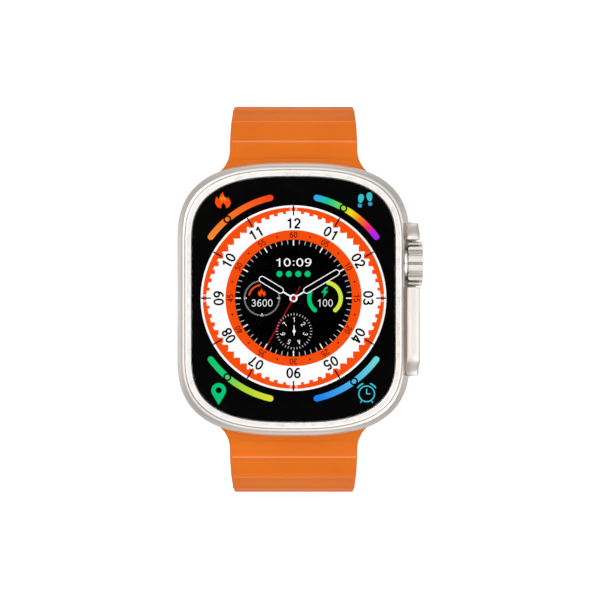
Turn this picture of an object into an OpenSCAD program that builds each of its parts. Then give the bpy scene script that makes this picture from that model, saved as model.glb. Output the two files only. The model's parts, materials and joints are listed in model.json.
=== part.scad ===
// Square-cased GPS sports watch on a fastened ribbed strap, standing on its buckle.
// +Z is out of the dial, +Y is 12 o'clock, +X is the crown side, and z = 0 is the table.
// Modules are drawn about the case's centre line, x = 0; centred() then shifts them along X,
// so that the whole watch, with its side button, is centred on the origin.

/* [Case] */
// Length of the case, along the strap
case_l = 49; // [48.8:0.1:49.2]
// Width of the case without the crown guard
case_w = 41.6; // [41.4:0.1:41.8]
// Thickness of the case from its back plane to its lip
case_t = 12; // [12:0.1:12.3]
// Height of the lip above the table
lip_z = 64; // [64:0.5:66]
// Exponent of the rounded corners: 2 is an ellipse, more is squarer
corner_power = 2.8; // [2.6:0.1:3]
// Half length of the straight part of each long side
side_flat = 9.65; // [9.4:0.05:9.8]
// Width of the bright lip round the glass
lip_w = 1.22; // [1.1:0.02:1.3]
// Distance from the case outline to the lip
lip_inset = 1.41; // [1.36:0.01:1.46]

/* [Crown and buttons] */
// Height of the crown and button axes above the back plane
control_h = 5.8; // [5.7:0.1:5.9]
// Crown axis, from the middle of the case towards 12 o'clock
crown_y = 6.4; // [6.2:0.1:6.6]
// Radius over the crown's teeth
crown_r = 4.03; // [3.9:0.01:4.05]
// Number of teeth on the crown
crown_teeth = 15; // [12:1:20]
// How far the crown is pushed in
crown_travel = 0.5; // [0.3:0.05:0.5]
// Half length of the crown guard
guard_half = 13.7; // [13.4:0.1:14]
// Farthest reach of the guard from the case's centre line
guard_reach = 22.55; // [22.4:0.05:22.7]
// Height of the guard
guard_h = 7.2; // [7:0.1:7.4]
// Length of the side button
side_button_l = 9.9; // [9:0.1:10.2]
// Height of the side button
side_button_h = 3; // [2.6:0.1:3.2]
// Length of the action button
action_button_l = 7.6; // [7:0.1:8]

/* [Back] */
// Radius of the sensor window
window_r = 13.2; // [12.8:0.1:13.4]
// How far the sensor window bulges below the back plane
dome_h = 2.4; // [2.2:0.1:2.6]

/* [Strap] */
// Width of the strap
strap_w = 23; // [22:0.5:23]
// Thickness of the strap
strap_t = 2.9; // [2.7:0.1:2.9]
// Half depth of the loop, to the middle of the strap
loop_half = 34.3; // [34:0.1:35]
// Half width of the flared end at the case
flare_half = 13.9; // [13.5:0.1:13.9]
// Slope of the strap where it leaves the case, in degrees
leave_angle = 18; // [17:1:19]

/* [Buckle] */
// Thickness of the keeper's wall
keeper_t = 0.9; // [0.8:0.05:0.9]
// Width of the keeper, along the strap
keeper_w = 5.5; // [5:0.5:5.5]
// Middle of the keeper
keeper_y = 7.75; // [7.5:0.25:8]
// Spread of the two prongs, from the middle
prong_x = 4; // [3.8:0.1:4.2]

/* [Hidden] */
$fn = 64;
eps = 0.5;              // how far a cut runs past the face it opens
slack = 0.1;            // clearance round a moving button
case_steps = 24;        // points in each quarter of the case outline

// Case levels
back_z = lip_z - case_t;
control_z = back_z + control_h;
shoulder_z = lip_z - 0.9;
widest_z = lip_z - 4.1;
round_z = back_z + 3.6;
shoulder_inset = 1.3;
belly_inset = 2.4;
glass_inset = lip_inset + lip_w + 0.05;
glass_top = lip_z - 0.15;
glass_bottom = lip_z - 1.35;
ledge_z = glass_bottom - 0.25;
pocket_inset = 3.5;
pocket_z = lip_z - 3.4;
panel_bottom = lip_z - 2.6;
reach = 23.1;           // outermost point of the crown
case_x = -(reach - case_w / 2) / 2;

// Room inside the case
room = [32.8, 37.2];
room_corner = 8.5;
plate_size = [34.8, 39.6];
plate_corner = 9.2;
plate_t = 1.1;
gasket_t = 0.3;
room_z = back_z + plate_t + gasket_t;
board_z = pocket_z - 1.1;
board_t = 0.8;
screw_at = [13.2, 15.8];
screw_r = 0.6;

pillar_r = 2.2;

// Sensor window: part of a sphere that drops to dome_h below the back plane
rim_drop = 0.6;
dome_r = (pow(window_r, 2) + pow(dome_h - rim_drop, 2)) / (2 * (dome_h - rim_drop));
dome_z = back_z - dome_h + dome_r;
dome_t = 0.9;
window_top = back_z + 0.5;
sensor_board_t = 0.8;
flex_t = 0.2;

// Speaker and microphone, along the left wall
speaker_slots = [8.4, 11.6];
speaker_slot = [2.6, 1];
speaker_z = control_z - 0.6;
speaker_wall = 16;      // inner face of the wall that the slots pass
mic_y = -9.5;
mic_r = 0.4;

// Band slots, in the YZ plane of the 12 o'clock end
slot_back = 20.3;
slot_front = 23.3;
slot_low = back_z + 1.95;
slot_high = back_z + 7.55;
mouth_low = back_z + 2.65;
mouth_high = back_z + 6.85;
lug_gap = 0.2;

// Crown, along X from the case's centre line
crown_in = 20.5;
crown_out = reach;
crown_room = crown_r + 0.25;
crown_ledge_x = 22.2;
crown_cheek = 0.9;
crown_ledge_t = 0.7;
crown_ledge_z = control_z - crown_r - 0.15;
collar_r = 2.9;          // collar of the crown's tube, which the knob passes over
collar_out = 20.35;
guard_floor = 19.8;
guard_round = 178;
stem_r = 1.1;
stem_in = 12.4;
tube_bore = 1.16;
tube_wide = 1.65;
tube_r = 2;
wheel_in = 13;
wheel_t = 1.2;
wheel_r = 2.2;

// Buttons, along X from the case's centre line
button_floor = 20.4;
side_button_out = guard_reach + 0.15;
button_pin_r = 0.7;
button_pin_in = 16.2;
seal_from = 18.4;
seal_to = 19.2;
action_floor = 19.4;
action_h = 2.4;
release_l = 6;
release_w = 2;
release_y = 21.8;

// Strap loop: heights of the two layers at the buckle, and the middle line's corners
tail_z = 2.5;
inner_z = 5.55;
flat_half = 14;
neck_y = 25;
neck_z = back_z + 4.45;
upper_r = (loop_half - neck_y) / (1 - sin(leave_angle));
upper_z = neck_z - upper_r * cos(leave_angle);
lower_r = loop_half - flat_half;
lower_z = inner_z + lower_r;
strap_start = 22.6;
strap_end = -1.7;
bend_from = 11.5;
bend_l = 10;
bend_turn = 2 * atan((inner_z - tail_z) / bend_l);
tail_turn = 35;
flare_r = 4;
flare_y = 27;

// Buckle
bar = [-0.5, 5.6];
bar_r = 0.85;
bar_pin_r = 0.6;
rail_in = 11.7;
rail_out = 13.4;
end_bar = [-12, -9.2];
end_bar_top = 3.5;
prong_t = 0.9;
prong_w = 1.4;
prong_z = 0.95;
prong_bend_y = -8.6;
prong_tip_y = -11.6;
prong_curve = 0.7;      // length of the bend where a prong meets the end bar
tongue_half = 4.9;
tongue_r = 1.25;

// Shifts what is drawn about the case's centre line to its place
module centred() {
    translate([case_x, 0, 0]) children();
}

// Points of the case outline, drawn in from its edge by the inset
function quarter(inset) = [
    for (i = [0 : case_steps])
        let (a = 90 * i / case_steps)
        [
            (case_w / 2 - inset) * pow(cos(a), 2 / corner_power),
            side_flat + (case_l / 2 - side_flat - inset) * pow(sin(a), 2 / corner_power)
        ]
];
function backwards(list) = [for (i = [len(list) - 1 : -1 : 0]) list[i]];
function outline(inset) = let (q = quarter(inset), last = case_steps) concat(
    q,
    [for (i = [last - 1 : -1 : 0]) [-q[i].x, q[i].y]],
    [for (i = [0 : last]) [-q[i].x, -q[i].y]],
    [for (i = [last - 1 : -1 : 0]) [q[i].x, -q[i].y]]
);

// A plate with the case's outline
module plate(inset, low, high) {
    translate([0, 0, low]) linear_extrude(high - low) polygon(outline(inset));
}

// A solid through rings of the outline, each given as [inset, height]
module loft(rings) {
    count = len(outline(0));
    points = [for (r = rings) for (p = outline(r[0])) [p.x, p.y, r[1]]];
    sides = [
        for (k = [0 : len(rings) - 2]) for (i = [0 : count - 1])
            let (j = (i + 1) % count)
            [k * count + i, (k + 1) * count + i, (k + 1) * count + j, k * count + j]
    ];
    bottom = [for (i = [0 : count - 1]) i];
    top = [for (i = [count - 1 : -1 : 0]) (len(rings) - 1) * count + i];
    polyhedron(points, concat(sides, [bottom], [top]));
}

// A box between two corners
module block(low, high) {
    translate(low) cube(high - low);
}

// A plate with round corners
module slab(size, corner, low, high) {
    translate([0, 0, low]) linear_extrude(high - low) union() {
        square([size.x, size.y - 2 * corner], center = true);
        square([size.x - 2 * corner, size.y], center = true);
        for (x = [-1, 1], y = [-1, 1])
            translate([x * (size.x / 2 - corner), y * (size.y / 2 - corner)]) circle(corner);
    }
}

// A round bar along X from one x to another
module rod(radius, from, to, y = 0, z = 0) {
    translate([from, y, z]) rotate([0, 90, 0]) cylinder(r = radius, h = to - from);
}

// A solid turned about an axis along X; the section is [distance along X, radius]
module turned(y = 0, z = 0) {
    translate([0, y, z]) rotate([0, 90, 0]) rotate_extrude() mirror([1, 0]) rotate(90) children();
}

// A bar along X with the section of a slot with round ends, its length along Y
module pill_x(length, height, from, to, y, z) {
    half = (length - height) / 2;
    block([from, y - half, z - height / 2], [to, y + half, z + height / 2]);
    for (side = [-1, 1]) rod(height / 2, from, to, y + side * half, z);
}

// The same, upright, with its length along X
module pill_z(length, width, low, high, y) {
    half = (length - width) / 2;
    block([-half, y - width / 2, low], [half, y + width / 2, high]);
    for (side = [-1, 1]) translate([side * half, y, low]) cylinder(r = width / 2, h = high - low);
}

// Points along a line made of straight and round stretches, each given as [length, turn]
function walk(p, a, legs, i = 0) = i >= len(legs) ? [[p.x, p.y, a]] : let (
    l = legs[i][0],
    turn = legs[i][1],
    parts = turn == 0 ? 1 : ceil(abs(turn) / 6),
    r = turn == 0 ? 0 : l / (turn * PI / 180),
    spot = function (t) turn == 0
        ? [p.x + l * t * cos(a), p.y + l * t * sin(a)]
        : [p.x + r * (sin(a + turn * t) - sin(a)), p.y - r * (cos(a + turn * t) - cos(a))],
    here = [for (k = [0 : parts - 1]) let (s = spot(k / parts)) [s.x, s.y, a + turn * k / parts]]
) concat(here, walk(spot(1), a + turn, legs, i + 1));
function arc_length(r, turn) = r * abs(turn) * PI / 180;

// Points beside a line, at a distance to its left
function beside(line, d) = [for (p = line) [p[0] - d * sin(p[2]), p[1] + d * cos(p[2])]];

// A ribbon of even thickness along a line in the YZ plane, between two x
module ribbon(line, thickness, from, to) {
    translate([from, 0, 0]) rotate([90, 0, 90]) linear_extrude(to - from)
        polygon(concat(beside(line, thickness / 2), backwards(beside(line, -thickness / 2))));
}

// The strap's middle line from the case to the start of the flat bottom
start_z = neck_z + (neck_y - strap_start) * tan(leave_angle);
side_legs = [
    [(neck_y - strap_start) / cos(leave_angle), 0],
    [arc_length(upper_r, 90 - leave_angle), leave_angle - 90],
    [upper_z - lower_z, 0],
    [arc_length(lower_r, 90), -90]
];
bend_r = bend_l / (2 * sin(bend_turn));
tail_r = lower_r + inner_z - tail_z;
short_line = walk([strap_start, start_z], -leave_angle, concat(side_legs, [
    [flat_half - strap_end, 0]
]));
long_line = walk([strap_start, start_z], -leave_angle, concat(side_legs, [
    [flat_half - bend_from, 0],
    [arc_length(bend_r, bend_turn), bend_turn],
    [arc_length(bend_r, bend_turn), -bend_turn],
    [flat_half + bend_from - bend_l, 0],
    [arc_length(tail_r, tail_turn), -tail_turn]
]));
prong_fall = atan2(bar.y - 0.4 - prong_z, bar.x - 0.4 - prong_bend_y);
prong_line = walk([bar.x - 0.4, bar.y - 0.4], 180 + prong_fall, [
    [norm([bar.x - 0.4 - prong_bend_y, bar.y - 0.4 - prong_z]), 0],
    [prong_curve, -prong_fall],
    [prong_bend_y - prong_tip_y, 0]
]);

// Outer form of the case without its guard
module case_form() {
    edge_steps = 6;
    low = [for (i = [edge_steps : -1 : 0]) let (a = 90 * i / edge_steps)
        [belly_inset * (1 - cos(a)), round_z - (round_z - back_z) * sin(a)]];
    high = [for (i = [0 : edge_steps]) let (a = 90 * i / edge_steps)
        [shoulder_inset * (1 - cos(a)), widest_z + (shoulder_z - widest_z) * sin(a)]];
    loft(concat(low, high));
}

// The guard that stands out round the crown and the side button
module guard() {
    low = control_z - guard_h / 2;
    high = control_z + guard_h / 2;
    bevel = 0.45;
    intersection() {
        translate([0, 0, low]) linear_extrude(guard_h) intersection() {
            translate([guard_reach - guard_round, 1.5]) circle(guard_round, $fn = 360);
            translate([15, -guard_half]) square([10, 2 * guard_half]);
        }
        translate([0, guard_half, 0]) rotate([90, 0, 0]) linear_extrude(2 * guard_half) polygon([
            [15, low], [guard_reach - 2 * bevel, low], [guard_reach + 0.1, low + 2 * bevel],
            [guard_reach + 0.1, high - bevel], [guard_reach - bevel, high], [15, high]
        ]);
    }
}

// Space for a band lug at both ends of the case
module band_slots() {
    for (side = [0, 1]) mirror([0, side, 0]) {
        block([-case_w, slot_back, slot_low], [case_w, slot_front + 0.01, slot_high]);
        block([-case_w, slot_front, mouth_low], [case_w, case_l, mouth_high]);
    }
}

// What the release buttons need in the case: the hole and the pocket for the flange
module release_cuts() {
    for (side = [-1, 1]) {
        pill_z(release_l + 2 * slack, release_w + 2 * slack, back_z - eps, slot_low, side * release_y);
        pill_z(release_l + 1.2, release_w + 0.8, back_z + 0.9, slot_low + 0.01, side * release_y);
    }
}

// The ledge that closes the crown's cut-out at the back
module crown_ledge() {
    low = crown_ledge_z - crown_ledge_t;
    high = control_z - guard_h / 2 + 1;
    half = crown_room + crown_cheek;
    translate([0, crown_y + half, 0]) rotate([90, 0, 0]) linear_extrude(2 * half) polygon([
        [guard_floor - 1, low], [crown_ledge_x - 1.2, low], [crown_ledge_x, low + 0.45],
        [crown_ledge_x, high], [guard_floor - 1, high]
    ]);
}

module case_body() {
    color("#d8d0ca") centred() difference() {
        union() {
            case_form();
            guard();
            crown_ledge();
        }
        // Seats of the bezel, the glass, the gasket and the panel
        difference() {
            plate(lip_inset, lip_z - 1, lip_z + eps);
            plate(lip_inset + lip_w, lip_z - 2, lip_z + 1);
        }
        plate(glass_inset - 0.05, ledge_z, lip_z + eps);
        plate(pocket_inset, pocket_z, lip_z);
        // Room for the works, with a pillar for each back screw
        difference() {
            slab(room, room_corner, room_z - 0.01, pocket_z + 0.01);
            for (x = [-1, 1], y = [-1, 1])
                translate([x * screw_at.x, y * screw_at.y, back_z]) cylinder(r = pillar_r, h = 6);
        }
        slab(plate_size + [0.1, 0.1], plate_corner + 0.05, back_z - eps, room_z);
        for (x = [-1, 1], y = [-1, 1])
            translate([x * screw_at.x, y * screw_at.y, back_z]) cylinder(r = screw_r + 0.02, h = 4.2);
        band_slots();
        release_cuts();
        // Crown: the cut-out in the guard, the bore of the tube and its collar
        block([guard_floor, crown_y - crown_room, crown_ledge_z],
              [reach + 1, crown_y + crown_room, lip_z - 1.2]);
        rod(tube_r, 15, guard_floor + 1, crown_y, control_z);
        // Side button
        pill_x(side_button_l + 2 * slack, side_button_h + 2 * slack, button_floor, reach + 1,
               -crown_y, control_z);
        rod(button_pin_r + 0.05, 15, button_floor + 1, -crown_y, control_z);
        rod(1.25, seal_from, seal_to, -crown_y, control_z);
        // Action button
        pill_x(action_button_l + 2 * slack, action_h + 2 * slack, -case_w, -action_floor,
               0, control_z);
        rod(button_pin_r + 0.05, -action_floor - 1, -15, 0, control_z);
        rod(1.25, -seal_to, -seal_from, 0, control_z);
        // Speaker slots, the shallow seat of their mesh, and the microphone hole
        for (y = speaker_slots)
            pill_x(speaker_slot.x, speaker_slot.y, -case_w, 0.5 - speaker_wall, y, speaker_z);
        block([-speaker_wall - 1, speaker_slots[0] - 1.5, speaker_z - 1],
              [-speaker_wall, speaker_slots[1] + 0.4, speaker_z + 1]);
        rod(mic_r, -case_w, 0.1 - speaker_wall, mic_y, control_z);
    }
}

module front_bezel() {
    bevel = 0.3;
    color("#f4ece6") centred() difference() {
        loft([[lip_inset + 0.03, lip_z - 1], [lip_inset + 0.03, lip_z - bevel],
              [lip_inset + bevel / 2, lip_z - 0.05], [lip_inset + bevel, lip_z]]);
        plate(lip_inset + lip_w, lip_z - 2, lip_z + 1);
    }
}

module cover_crystal() {
    bevel = 0.25;
    color([0.05, 0.05, 0.06, 0.5]) centred() loft([
        [glass_inset, glass_bottom], [glass_inset, glass_top - bevel],
        [glass_inset + bevel, glass_top]
    ]);
}

module crystal_gasket() {
    color("#202020") centred() difference() {
        plate(glass_inset, ledge_z, glass_bottom);
        plate(pocket_inset - 0.1, ledge_z - 1, lip_z);
    }
}

module display_panel() {
    color("#101014") centred() plate(pocket_inset + 0.1, panel_bottom, glass_bottom);
}

module display_flex() {
    color("#b5702a") centred()
        block([-4, -10, board_z + board_t], [4, flex_t - 10, panel_bottom]);
}

module mid_frame() {
    color("#3a3d42") centred() difference() {
        plate(pocket_inset + 0.1, pocket_z, panel_bottom);
        slab([24, 30], 4, pocket_z - 1, lip_z);
    }
}

module main_board() {
    color("#1d5a36") centred() difference() {
        slab(room - [0.8, 0.8], room_corner - 0.4, board_z, board_z + board_t);
        // Notch that clears the crown's encoder wheel
        block([stem_in, crown_y - 3, board_z - 1], [20, crown_y + 3, lip_z]);
    }
}

module processor_shield() {
    wall = 0.3;
    low = [-7, -11.5, board_z - 1];
    high = [4.7, 1, board_z];
    color("#b9bcc0") centred() difference() {
        block(low, high);
        block(low + [wall, wall, wall], high + [-wall, -wall, eps]);
    }
}

module gps_antenna() {
    patch = 5.4;
    color("#e6dcc4") centred() translate([4.9, -17.4, board_z - 2.2]) cube([patch, patch, 2.2]);
}

module battery() {
    color("#2c2f36") centred()
        translate([-4.5, -4, 0]) slab([18, 18], 1.6, room_z + 0.9, room_z + 4.8);
}

module battery_flex() {
    color("#c98b3c") centred() block([-3, 5, board_z - 2.2], [1, 5 + flex_t, board_z]);
}

module haptic_motor() {
    color("#9da1a6") centred()
        translate([0.5, 15.7, 0]) slab([15, 5], 1, room_z + 1, room_z + 5);
}

module loudspeaker() {
    color("#26282c") centred() union() {
        block([0.1 - speaker_wall, 5.2, room_z + 1.2], [-8.2, 12, room_z + 5.2]);
        // Snout that reaches into the wall's opening
        block([-speaker_wall - 0.2, speaker_slots[0] - 1, speaker_z - 1],
              [0.2 - speaker_wall, speaker_slots[1] - 0.2, speaker_z + 1]);
    }
}

module speaker_mesh() {
    color("#5c5e61") centred()
        block([-speaker_wall - 0.9, speaker_slots[0] - 1.4, speaker_z - 0.9],
              [-speaker_wall - 0.65, speaker_slots[1] + 0.3, speaker_z + 0.9]);
}

module microphone() {
    color("#c8c8c2") centred()
        block([-speaker_wall - 0.1, mic_y - 1.1, control_z - 0.6],
              [1.9 - speaker_wall, mic_y + 1.1, board_z]);
}

module altimeter_sensor() {
    color("#bfc3c7") centred() translate([-4, -15.9, 0]) union() {
        block([-1.6, -1.6, board_z - 0.6], [1.6, 1.6, board_z]);
        translate([0, 0, board_z - 1.6]) cylinder(r = 1.3, h = 1.1);
    }
}

module back_plate() {
    color("#3b3d40") centred() difference() {
        slab(plate_size, plate_corner, back_z, back_z + plate_t);
        translate([0, 0, back_z - 1]) cylinder(r = window_r + 1.25, h = 4, $fn = 96);
        for (x = [-1, 1], y = [-1, 1]) translate([x * screw_at.x, y * screw_at.y, back_z]) {
            translate([0, 0, -1]) cylinder(r = screw_r + 0.1, h = 4);
            translate([0, 0, -1]) cylinder(r = 1.3, h = 1.6);
        }
    }
}

module back_gasket() {
    color("#1b1b1b") centred() difference() {
        slab(plate_size - [0.2, 0.2], plate_corner - 0.1, back_z + plate_t, room_z);
        slab(room + [0.2, 0.2], room_corner + 0.1, back_z, room_z + 1);
        for (x = [-1, 1], y = [-1, 1])
            translate([x * screw_at.x, y * screw_at.y, back_z]) cylinder(r = 1.6, h = 4);
    }
}

module back_screws() {
    color("#8b8d90") centred() for (x = [-1, 1], y = [-1, 1])
        translate([x * screw_at.x, y * screw_at.y, back_z]) difference() {
            union() {
                translate([0, 0, 0.1]) cylinder(r = 1.2, h = 0.5);
                cylinder(r = screw_r, h = 3.8);
            }
            translate([0, 0, -1]) cylinder(r = 0.5, h = 1.4, $fn = 6);
        }
}

module sensor_window() {
    color([0.08, 0.08, 0.1]) centred() difference() {
        intersection() {
            translate([0, 0, dome_z]) sphere(dome_r, $fn = 180);
            translate([0, 0, back_z - 5]) cylinder(r = window_r, h = window_top - back_z + 5, $fn = 96);
        }
        translate([0, 0, dome_z]) sphere(dome_r - dome_t, $fn = 180);
    }
}

module sensor_ring() {
    color("#d5d2cd") centred() rotate_extrude($fn = 96) polygon([
        [window_r + 0.05, back_z - rim_drop], [window_r + 1.5, back_z - 0.35],
        [window_r + 2, back_z], [window_r + 1.2, back_z], [window_r + 1.2, back_z + plate_t],
        [window_r + 0.05, back_z + plate_t]
    ]);
}

module sensor_board() {
    color("#1c4f7a") centred()
        translate([0, 0, window_top]) cylinder(r = window_r - 0.3, h = sensor_board_t, $fn = 96);
}

module sensor_leds() {
    high = 0.7;
    // A middle emitter pair and eight receivers round it
    color("#d8e8d0") centred() translate([0, 0, window_top - high]) {
        for (x = [-1, 1]) block([x * 1.4 - 0.9, -1, 0], [x * 1.4 + 0.9, 1, high]);
        for (i = [0 : 7]) rotate(45 * i) block([3.9, -0.8, 0], [5.9, 0.8, high]);
    }
}

module sensor_flex() {
    color("#c07a30") centred()
        block([5.8, -9.2, window_top + sensor_board_t], [8.4, flex_t - 9.2, board_z]);
}

module charging_coil() {
    color("#c8793a") centred() translate([0, 0, window_top - 0.55]) difference() {
        cylinder(r = 10.9, h = 0.55, $fn = 96);
        translate([0, 0, -1]) cylinder(r = 7.6, h = 3, $fn = 96);
    }
}

module crown_tube() {
    color("#e7ded4") centred() turned(crown_y, control_z) polygon([
        [15.6, tube_bore], [15.6, tube_r], [guard_floor, tube_r], [guard_floor, collar_r],
        [collar_out, collar_r], [collar_out, tube_wide], [16.8, tube_wide],
        [16.8, tube_bore]
    ]);
}

module crown_knob() {
    valley = crown_r - 0.3;
    bevel = 0.35;
    ridge_w = 0.5;
    color("#e9e1d8") centred() difference() {
        intersection() {
            union() {
                rod(valley, crown_in, crown_out, crown_y, control_z);
                for (i = [0 : crown_teeth - 1]) translate([0, crown_y, control_z])
                    rotate([360 * i / crown_teeth, 0, 0])
                    block([crown_in, -ridge_w / 2, 2], [crown_out, ridge_w / 2, crown_r + 1]);
            }
            turned(crown_y, control_z) polygon([
                [crown_in, 0], [crown_in, crown_r - bevel], [crown_in + bevel, crown_r],
                [crown_out - bevel, crown_r], [crown_out, crown_r - bevel], [crown_out, 0]
            ]);
        }
        rod(3, crown_out - 0.4, crown_out + 1, crown_y, control_z);
        rod(collar_r + 0.2, crown_in - 1, crown_in + 0.6, crown_y, control_z);
        rod(stem_r, crown_in - 1, crown_in + 1.2, crown_y, control_z);
    }
}

module crown_cap() {
    color("#cfc6bd") centred() turned(crown_y, control_z) polygon([
        [crown_out - 0.4, 0], [crown_out - 0.4, 2.95], [crown_out - 0.1, 2.95],
        [crown_out, 2.8], [crown_out, 0]
    ]);
}

module crown_stem() {
    color("#b8b4ae") centred() union() {
        rod(stem_r, stem_in, crown_in + 1.2, crown_y, control_z);
        rod(1.5, wheel_in - 0.3, wheel_in, crown_y, control_z);
    }
}

module crown_seals() {
    color("#1a1a1a") centred() for (x = [17.6, 18.6]) translate([x, crown_y, control_z])
        rotate([0, 90, 0]) rotate_extrude() translate([1.37, 0]) circle(0.25, $fn = 24);
}

module crown_encoder_wheel() {
    slots = 24;
    color("#4a4c50") centred() difference() {
        rod(wheel_r, wheel_in, wheel_in + wheel_t, crown_y, control_z);
        rod(stem_r + 0.01, wheel_in - 1, wheel_in + 3, crown_y, control_z);
        for (i = [0 : slots - 1]) translate([0, crown_y, control_z])
            rotate([360 * i / slots, 0, 0])
            block([wheel_in - 1, -0.12, wheel_r - 0.35], [wheel_in + 3, 0.12, wheel_r + 1]);
    }
}

module crown_thrust_plate() {
    color("#a9a49c") centred() rod(1.6, stem_in - 0.4, stem_in, crown_y, control_z);
}

module crown_switch() {
    color("#2a2a2c") centred() union() {
        block([9.4, crown_y - 1.6, control_z - 1.5], [10.8, crown_y + 1.6, board_z]);
        rod(0.9, 10.8, stem_in - 0.4 - crown_travel - 0.15, crown_y, control_z);
    }
}

// A button's cap with its pin, along X
module push_button(length, height, outer, inner, pin_to) {
    bevel = 0.25;
    union() {
        intersection() {
            pill_x(length, height, inner, outer, 0, 0);
            union() {
                block([inner, -length, -height], [outer - bevel, length, height]);
                pill_x(length - 2 * bevel, height - 2 * bevel, inner, outer, 0, 0);
            }
        }
        rod(button_pin_r, pin_to, inner + 0.01);
    }
}

module side_button() {
    color("#d3cabf") centred() translate([0, -crown_y, control_z])
        push_button(side_button_l, side_button_h, side_button_out, button_floor + 0.6, button_pin_in);
}

module side_button_seal() {
    color("#1a1a1a") centred() translate([0, -crown_y, control_z]) difference() {
        rod(1.2, seal_from + 0.05, seal_to - 0.05);
        rod(button_pin_r + 0.05, seal_from - 1, seal_to + 1);
    }
}

module side_button_switch() {
    color("#2a2a2c") centred()
        block([14.4, -crown_y - 1.5, control_z - 1], [15.6, -crown_y + 1.5, board_z]);
}

module action_button() {
    color("#d3cabf") centred() translate([0, 0, control_z]) mirror([1, 0, 0])
        push_button(action_button_l, action_h, case_w / 2, action_floor + 0.45, button_pin_in);
}

module action_button_seal() {
    color("#1a1a1a") centred() translate([0, 0, control_z]) difference() {
        rod(1.2, -seal_to + 0.05, -seal_from - 0.05);
        rod(button_pin_r + 0.05, -seal_to - 1, -seal_from + 1);
    }
}

module action_button_switch() {
    color("#2a2a2c") centred()
        block([-15.6, -1.5, control_z - 1], [-14.6, 1.5, board_z]);
}

module release_button(side) {
    union() {
        pill_z(release_l, release_w, back_z + 0.1, back_z + 1.1, side * release_y);
        pill_z(release_l + 0.9, release_w + 0.5, back_z + 0.95, back_z + 1.25, side * release_y);
    }
}

module release_button_top() {
    color("#c9c2b8") centred() release_button(1);
}

module release_button_bottom() {
    color("#c9c2b8") centred() release_button(-1);
}

// The tenon on a lug that the strap is moulded round
module lug_tenon(extra = 0) {
    block([-9 - extra, slot_front - 0.1, neck_z - 0.2 - extra],
          [9 + extra, slot_front + 0.9 + extra, neck_z + 0.8 + extra]);
}

module latch_bore() {
    translate([0, release_y, slot_low + lug_gap - 1]) cylinder(r = 0.95, h = 4.4);
}

module lug() {
    difference() {
        union() {
            intersection() {
                plate(0.3, slot_low + lug_gap, slot_high - lug_gap);
                block([-13.4, slot_back + lug_gap, 0], [13.4, slot_front, lip_z]);
            }
            lug_tenon();
        }
        latch_bore();
    }
}

module lug_top() {
    color("#d96a28") centred() lug();
}

module lug_bottom() {
    color("#d96a28") centred() mirror([0, 1, 0]) lug();
}

module latch_pins() {
    color("#b9b7b2") centred() for (side = [-1, 1])
        translate([0, side * release_y, slot_low + lug_gap + 0.05]) cylinder(r = 0.88, h = 1.5);
}

// A coil spring as a swept tube, with its ends lying flat
module coil(radius, wire, height, turns) {
    ring_steps = 12;
    sides = 6;
    rings = turns * ring_steps;
    points = [
        for (k = [0 : rings]) for (i = [0 : sides - 1])
            let (a = 360 * k / ring_steps, b = 360 * i / sides, r = radius + wire * cos(b))
            [r * cos(a), r * sin(a), height * k / rings + wire * sin(b)]
    ];
    walls = [
        for (k = [0 : rings - 1]) for (i = [0 : sides - 1])
            let (j = (i + 1) % sides)
            [k * sides + i, k * sides + j, (k + 1) * sides + j, (k + 1) * sides + i]
    ];
    first = [for (i = [sides - 1 : -1 : 0]) i];
    last = [for (i = [0 : sides - 1]) rings * sides + i];
    polyhedron(points, concat(walls, [first], [last]));
}

module latch_springs() {
    wire = 0.11;
    color("#9a9a9a") centred() for (side = [-1, 1])
        translate([0, side * release_y, slot_low + lug_gap + 1.55 + wire])
            coil(0.66, wire, 1.85 - 2 * wire, 4);
}

// The strap's flared end, which meets the rounded end of the case
module strap_neck(line) {
    difference() {
        intersection() {
            ribbon(line, strap_t, -flare_half, flare_half);
            block([-flare_half, slot_front, upper_z], [flare_half, flare_y, lip_z]);
        }
        for (side = [-1, 1]) translate([side * (strap_w / 2 + flare_r), flare_y, 0])
            cylinder(r = flare_r, h = lip_z);
    }
}

module strap_band(line) {
    difference() {
        union() {
            ribbon(line, strap_t, -strap_w / 2, strap_w / 2);
            strap_neck(line);
        }
        block([-case_w, 0, upper_z], [case_w, slot_front, lip_z]);
        lug_tenon(0.02);
    }
}

module strap_short() {
    color("#e0722c") centred() difference() {
        strap_band(short_line);
        rod(bar_r + 0.03, -case_w, case_w, bar.x, bar.y);
        block([-tongue_half - 0.2, -5, 0], [tongue_half + 0.2, bar.x + tongue_r + 0.2, 9]);
    }
}

module strap_long() {
    slot_w = prong_w + 0.6;
    hole_pitch = 4.8;
    hole_l = 2.6;
    first_hole = 2.6;
    color("#e0722c") centred() difference() {
        mirror([0, 1, 0]) strap_band(long_line);
        for (side = [-1, 1]) {
            ribbon(prong_line, prong_t + 0.8, side * prong_x - slot_w / 2, side * prong_x + slot_w / 2);
            // Free holes in the tail
            for (k = [0 : 3]) let (y = first_hole + k * hole_pitch)
                block([side * prong_x - slot_w / 2, y - hole_l / 2, 0],
                      [side * prong_x + slot_w / 2, y + hole_l / 2, tail_z + strap_t / 2 + 0.05]);
        }
    }
}

// The end bar lies flat on the table; its upper edges are round
module end_bar_section() {
    round_r = 0.7;
    foot = end_bar[1] - end_bar[0];
    translate([end_bar[0], 0]) square([foot, end_bar_top - round_r]);
    translate([end_bar[0] + round_r, 0]) square([foot - 2 * round_r, end_bar_top]);
    for (y = [end_bar[0] + round_r, end_bar[1] - round_r])
        translate([y, end_bar_top - round_r]) circle(round_r);
}

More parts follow.
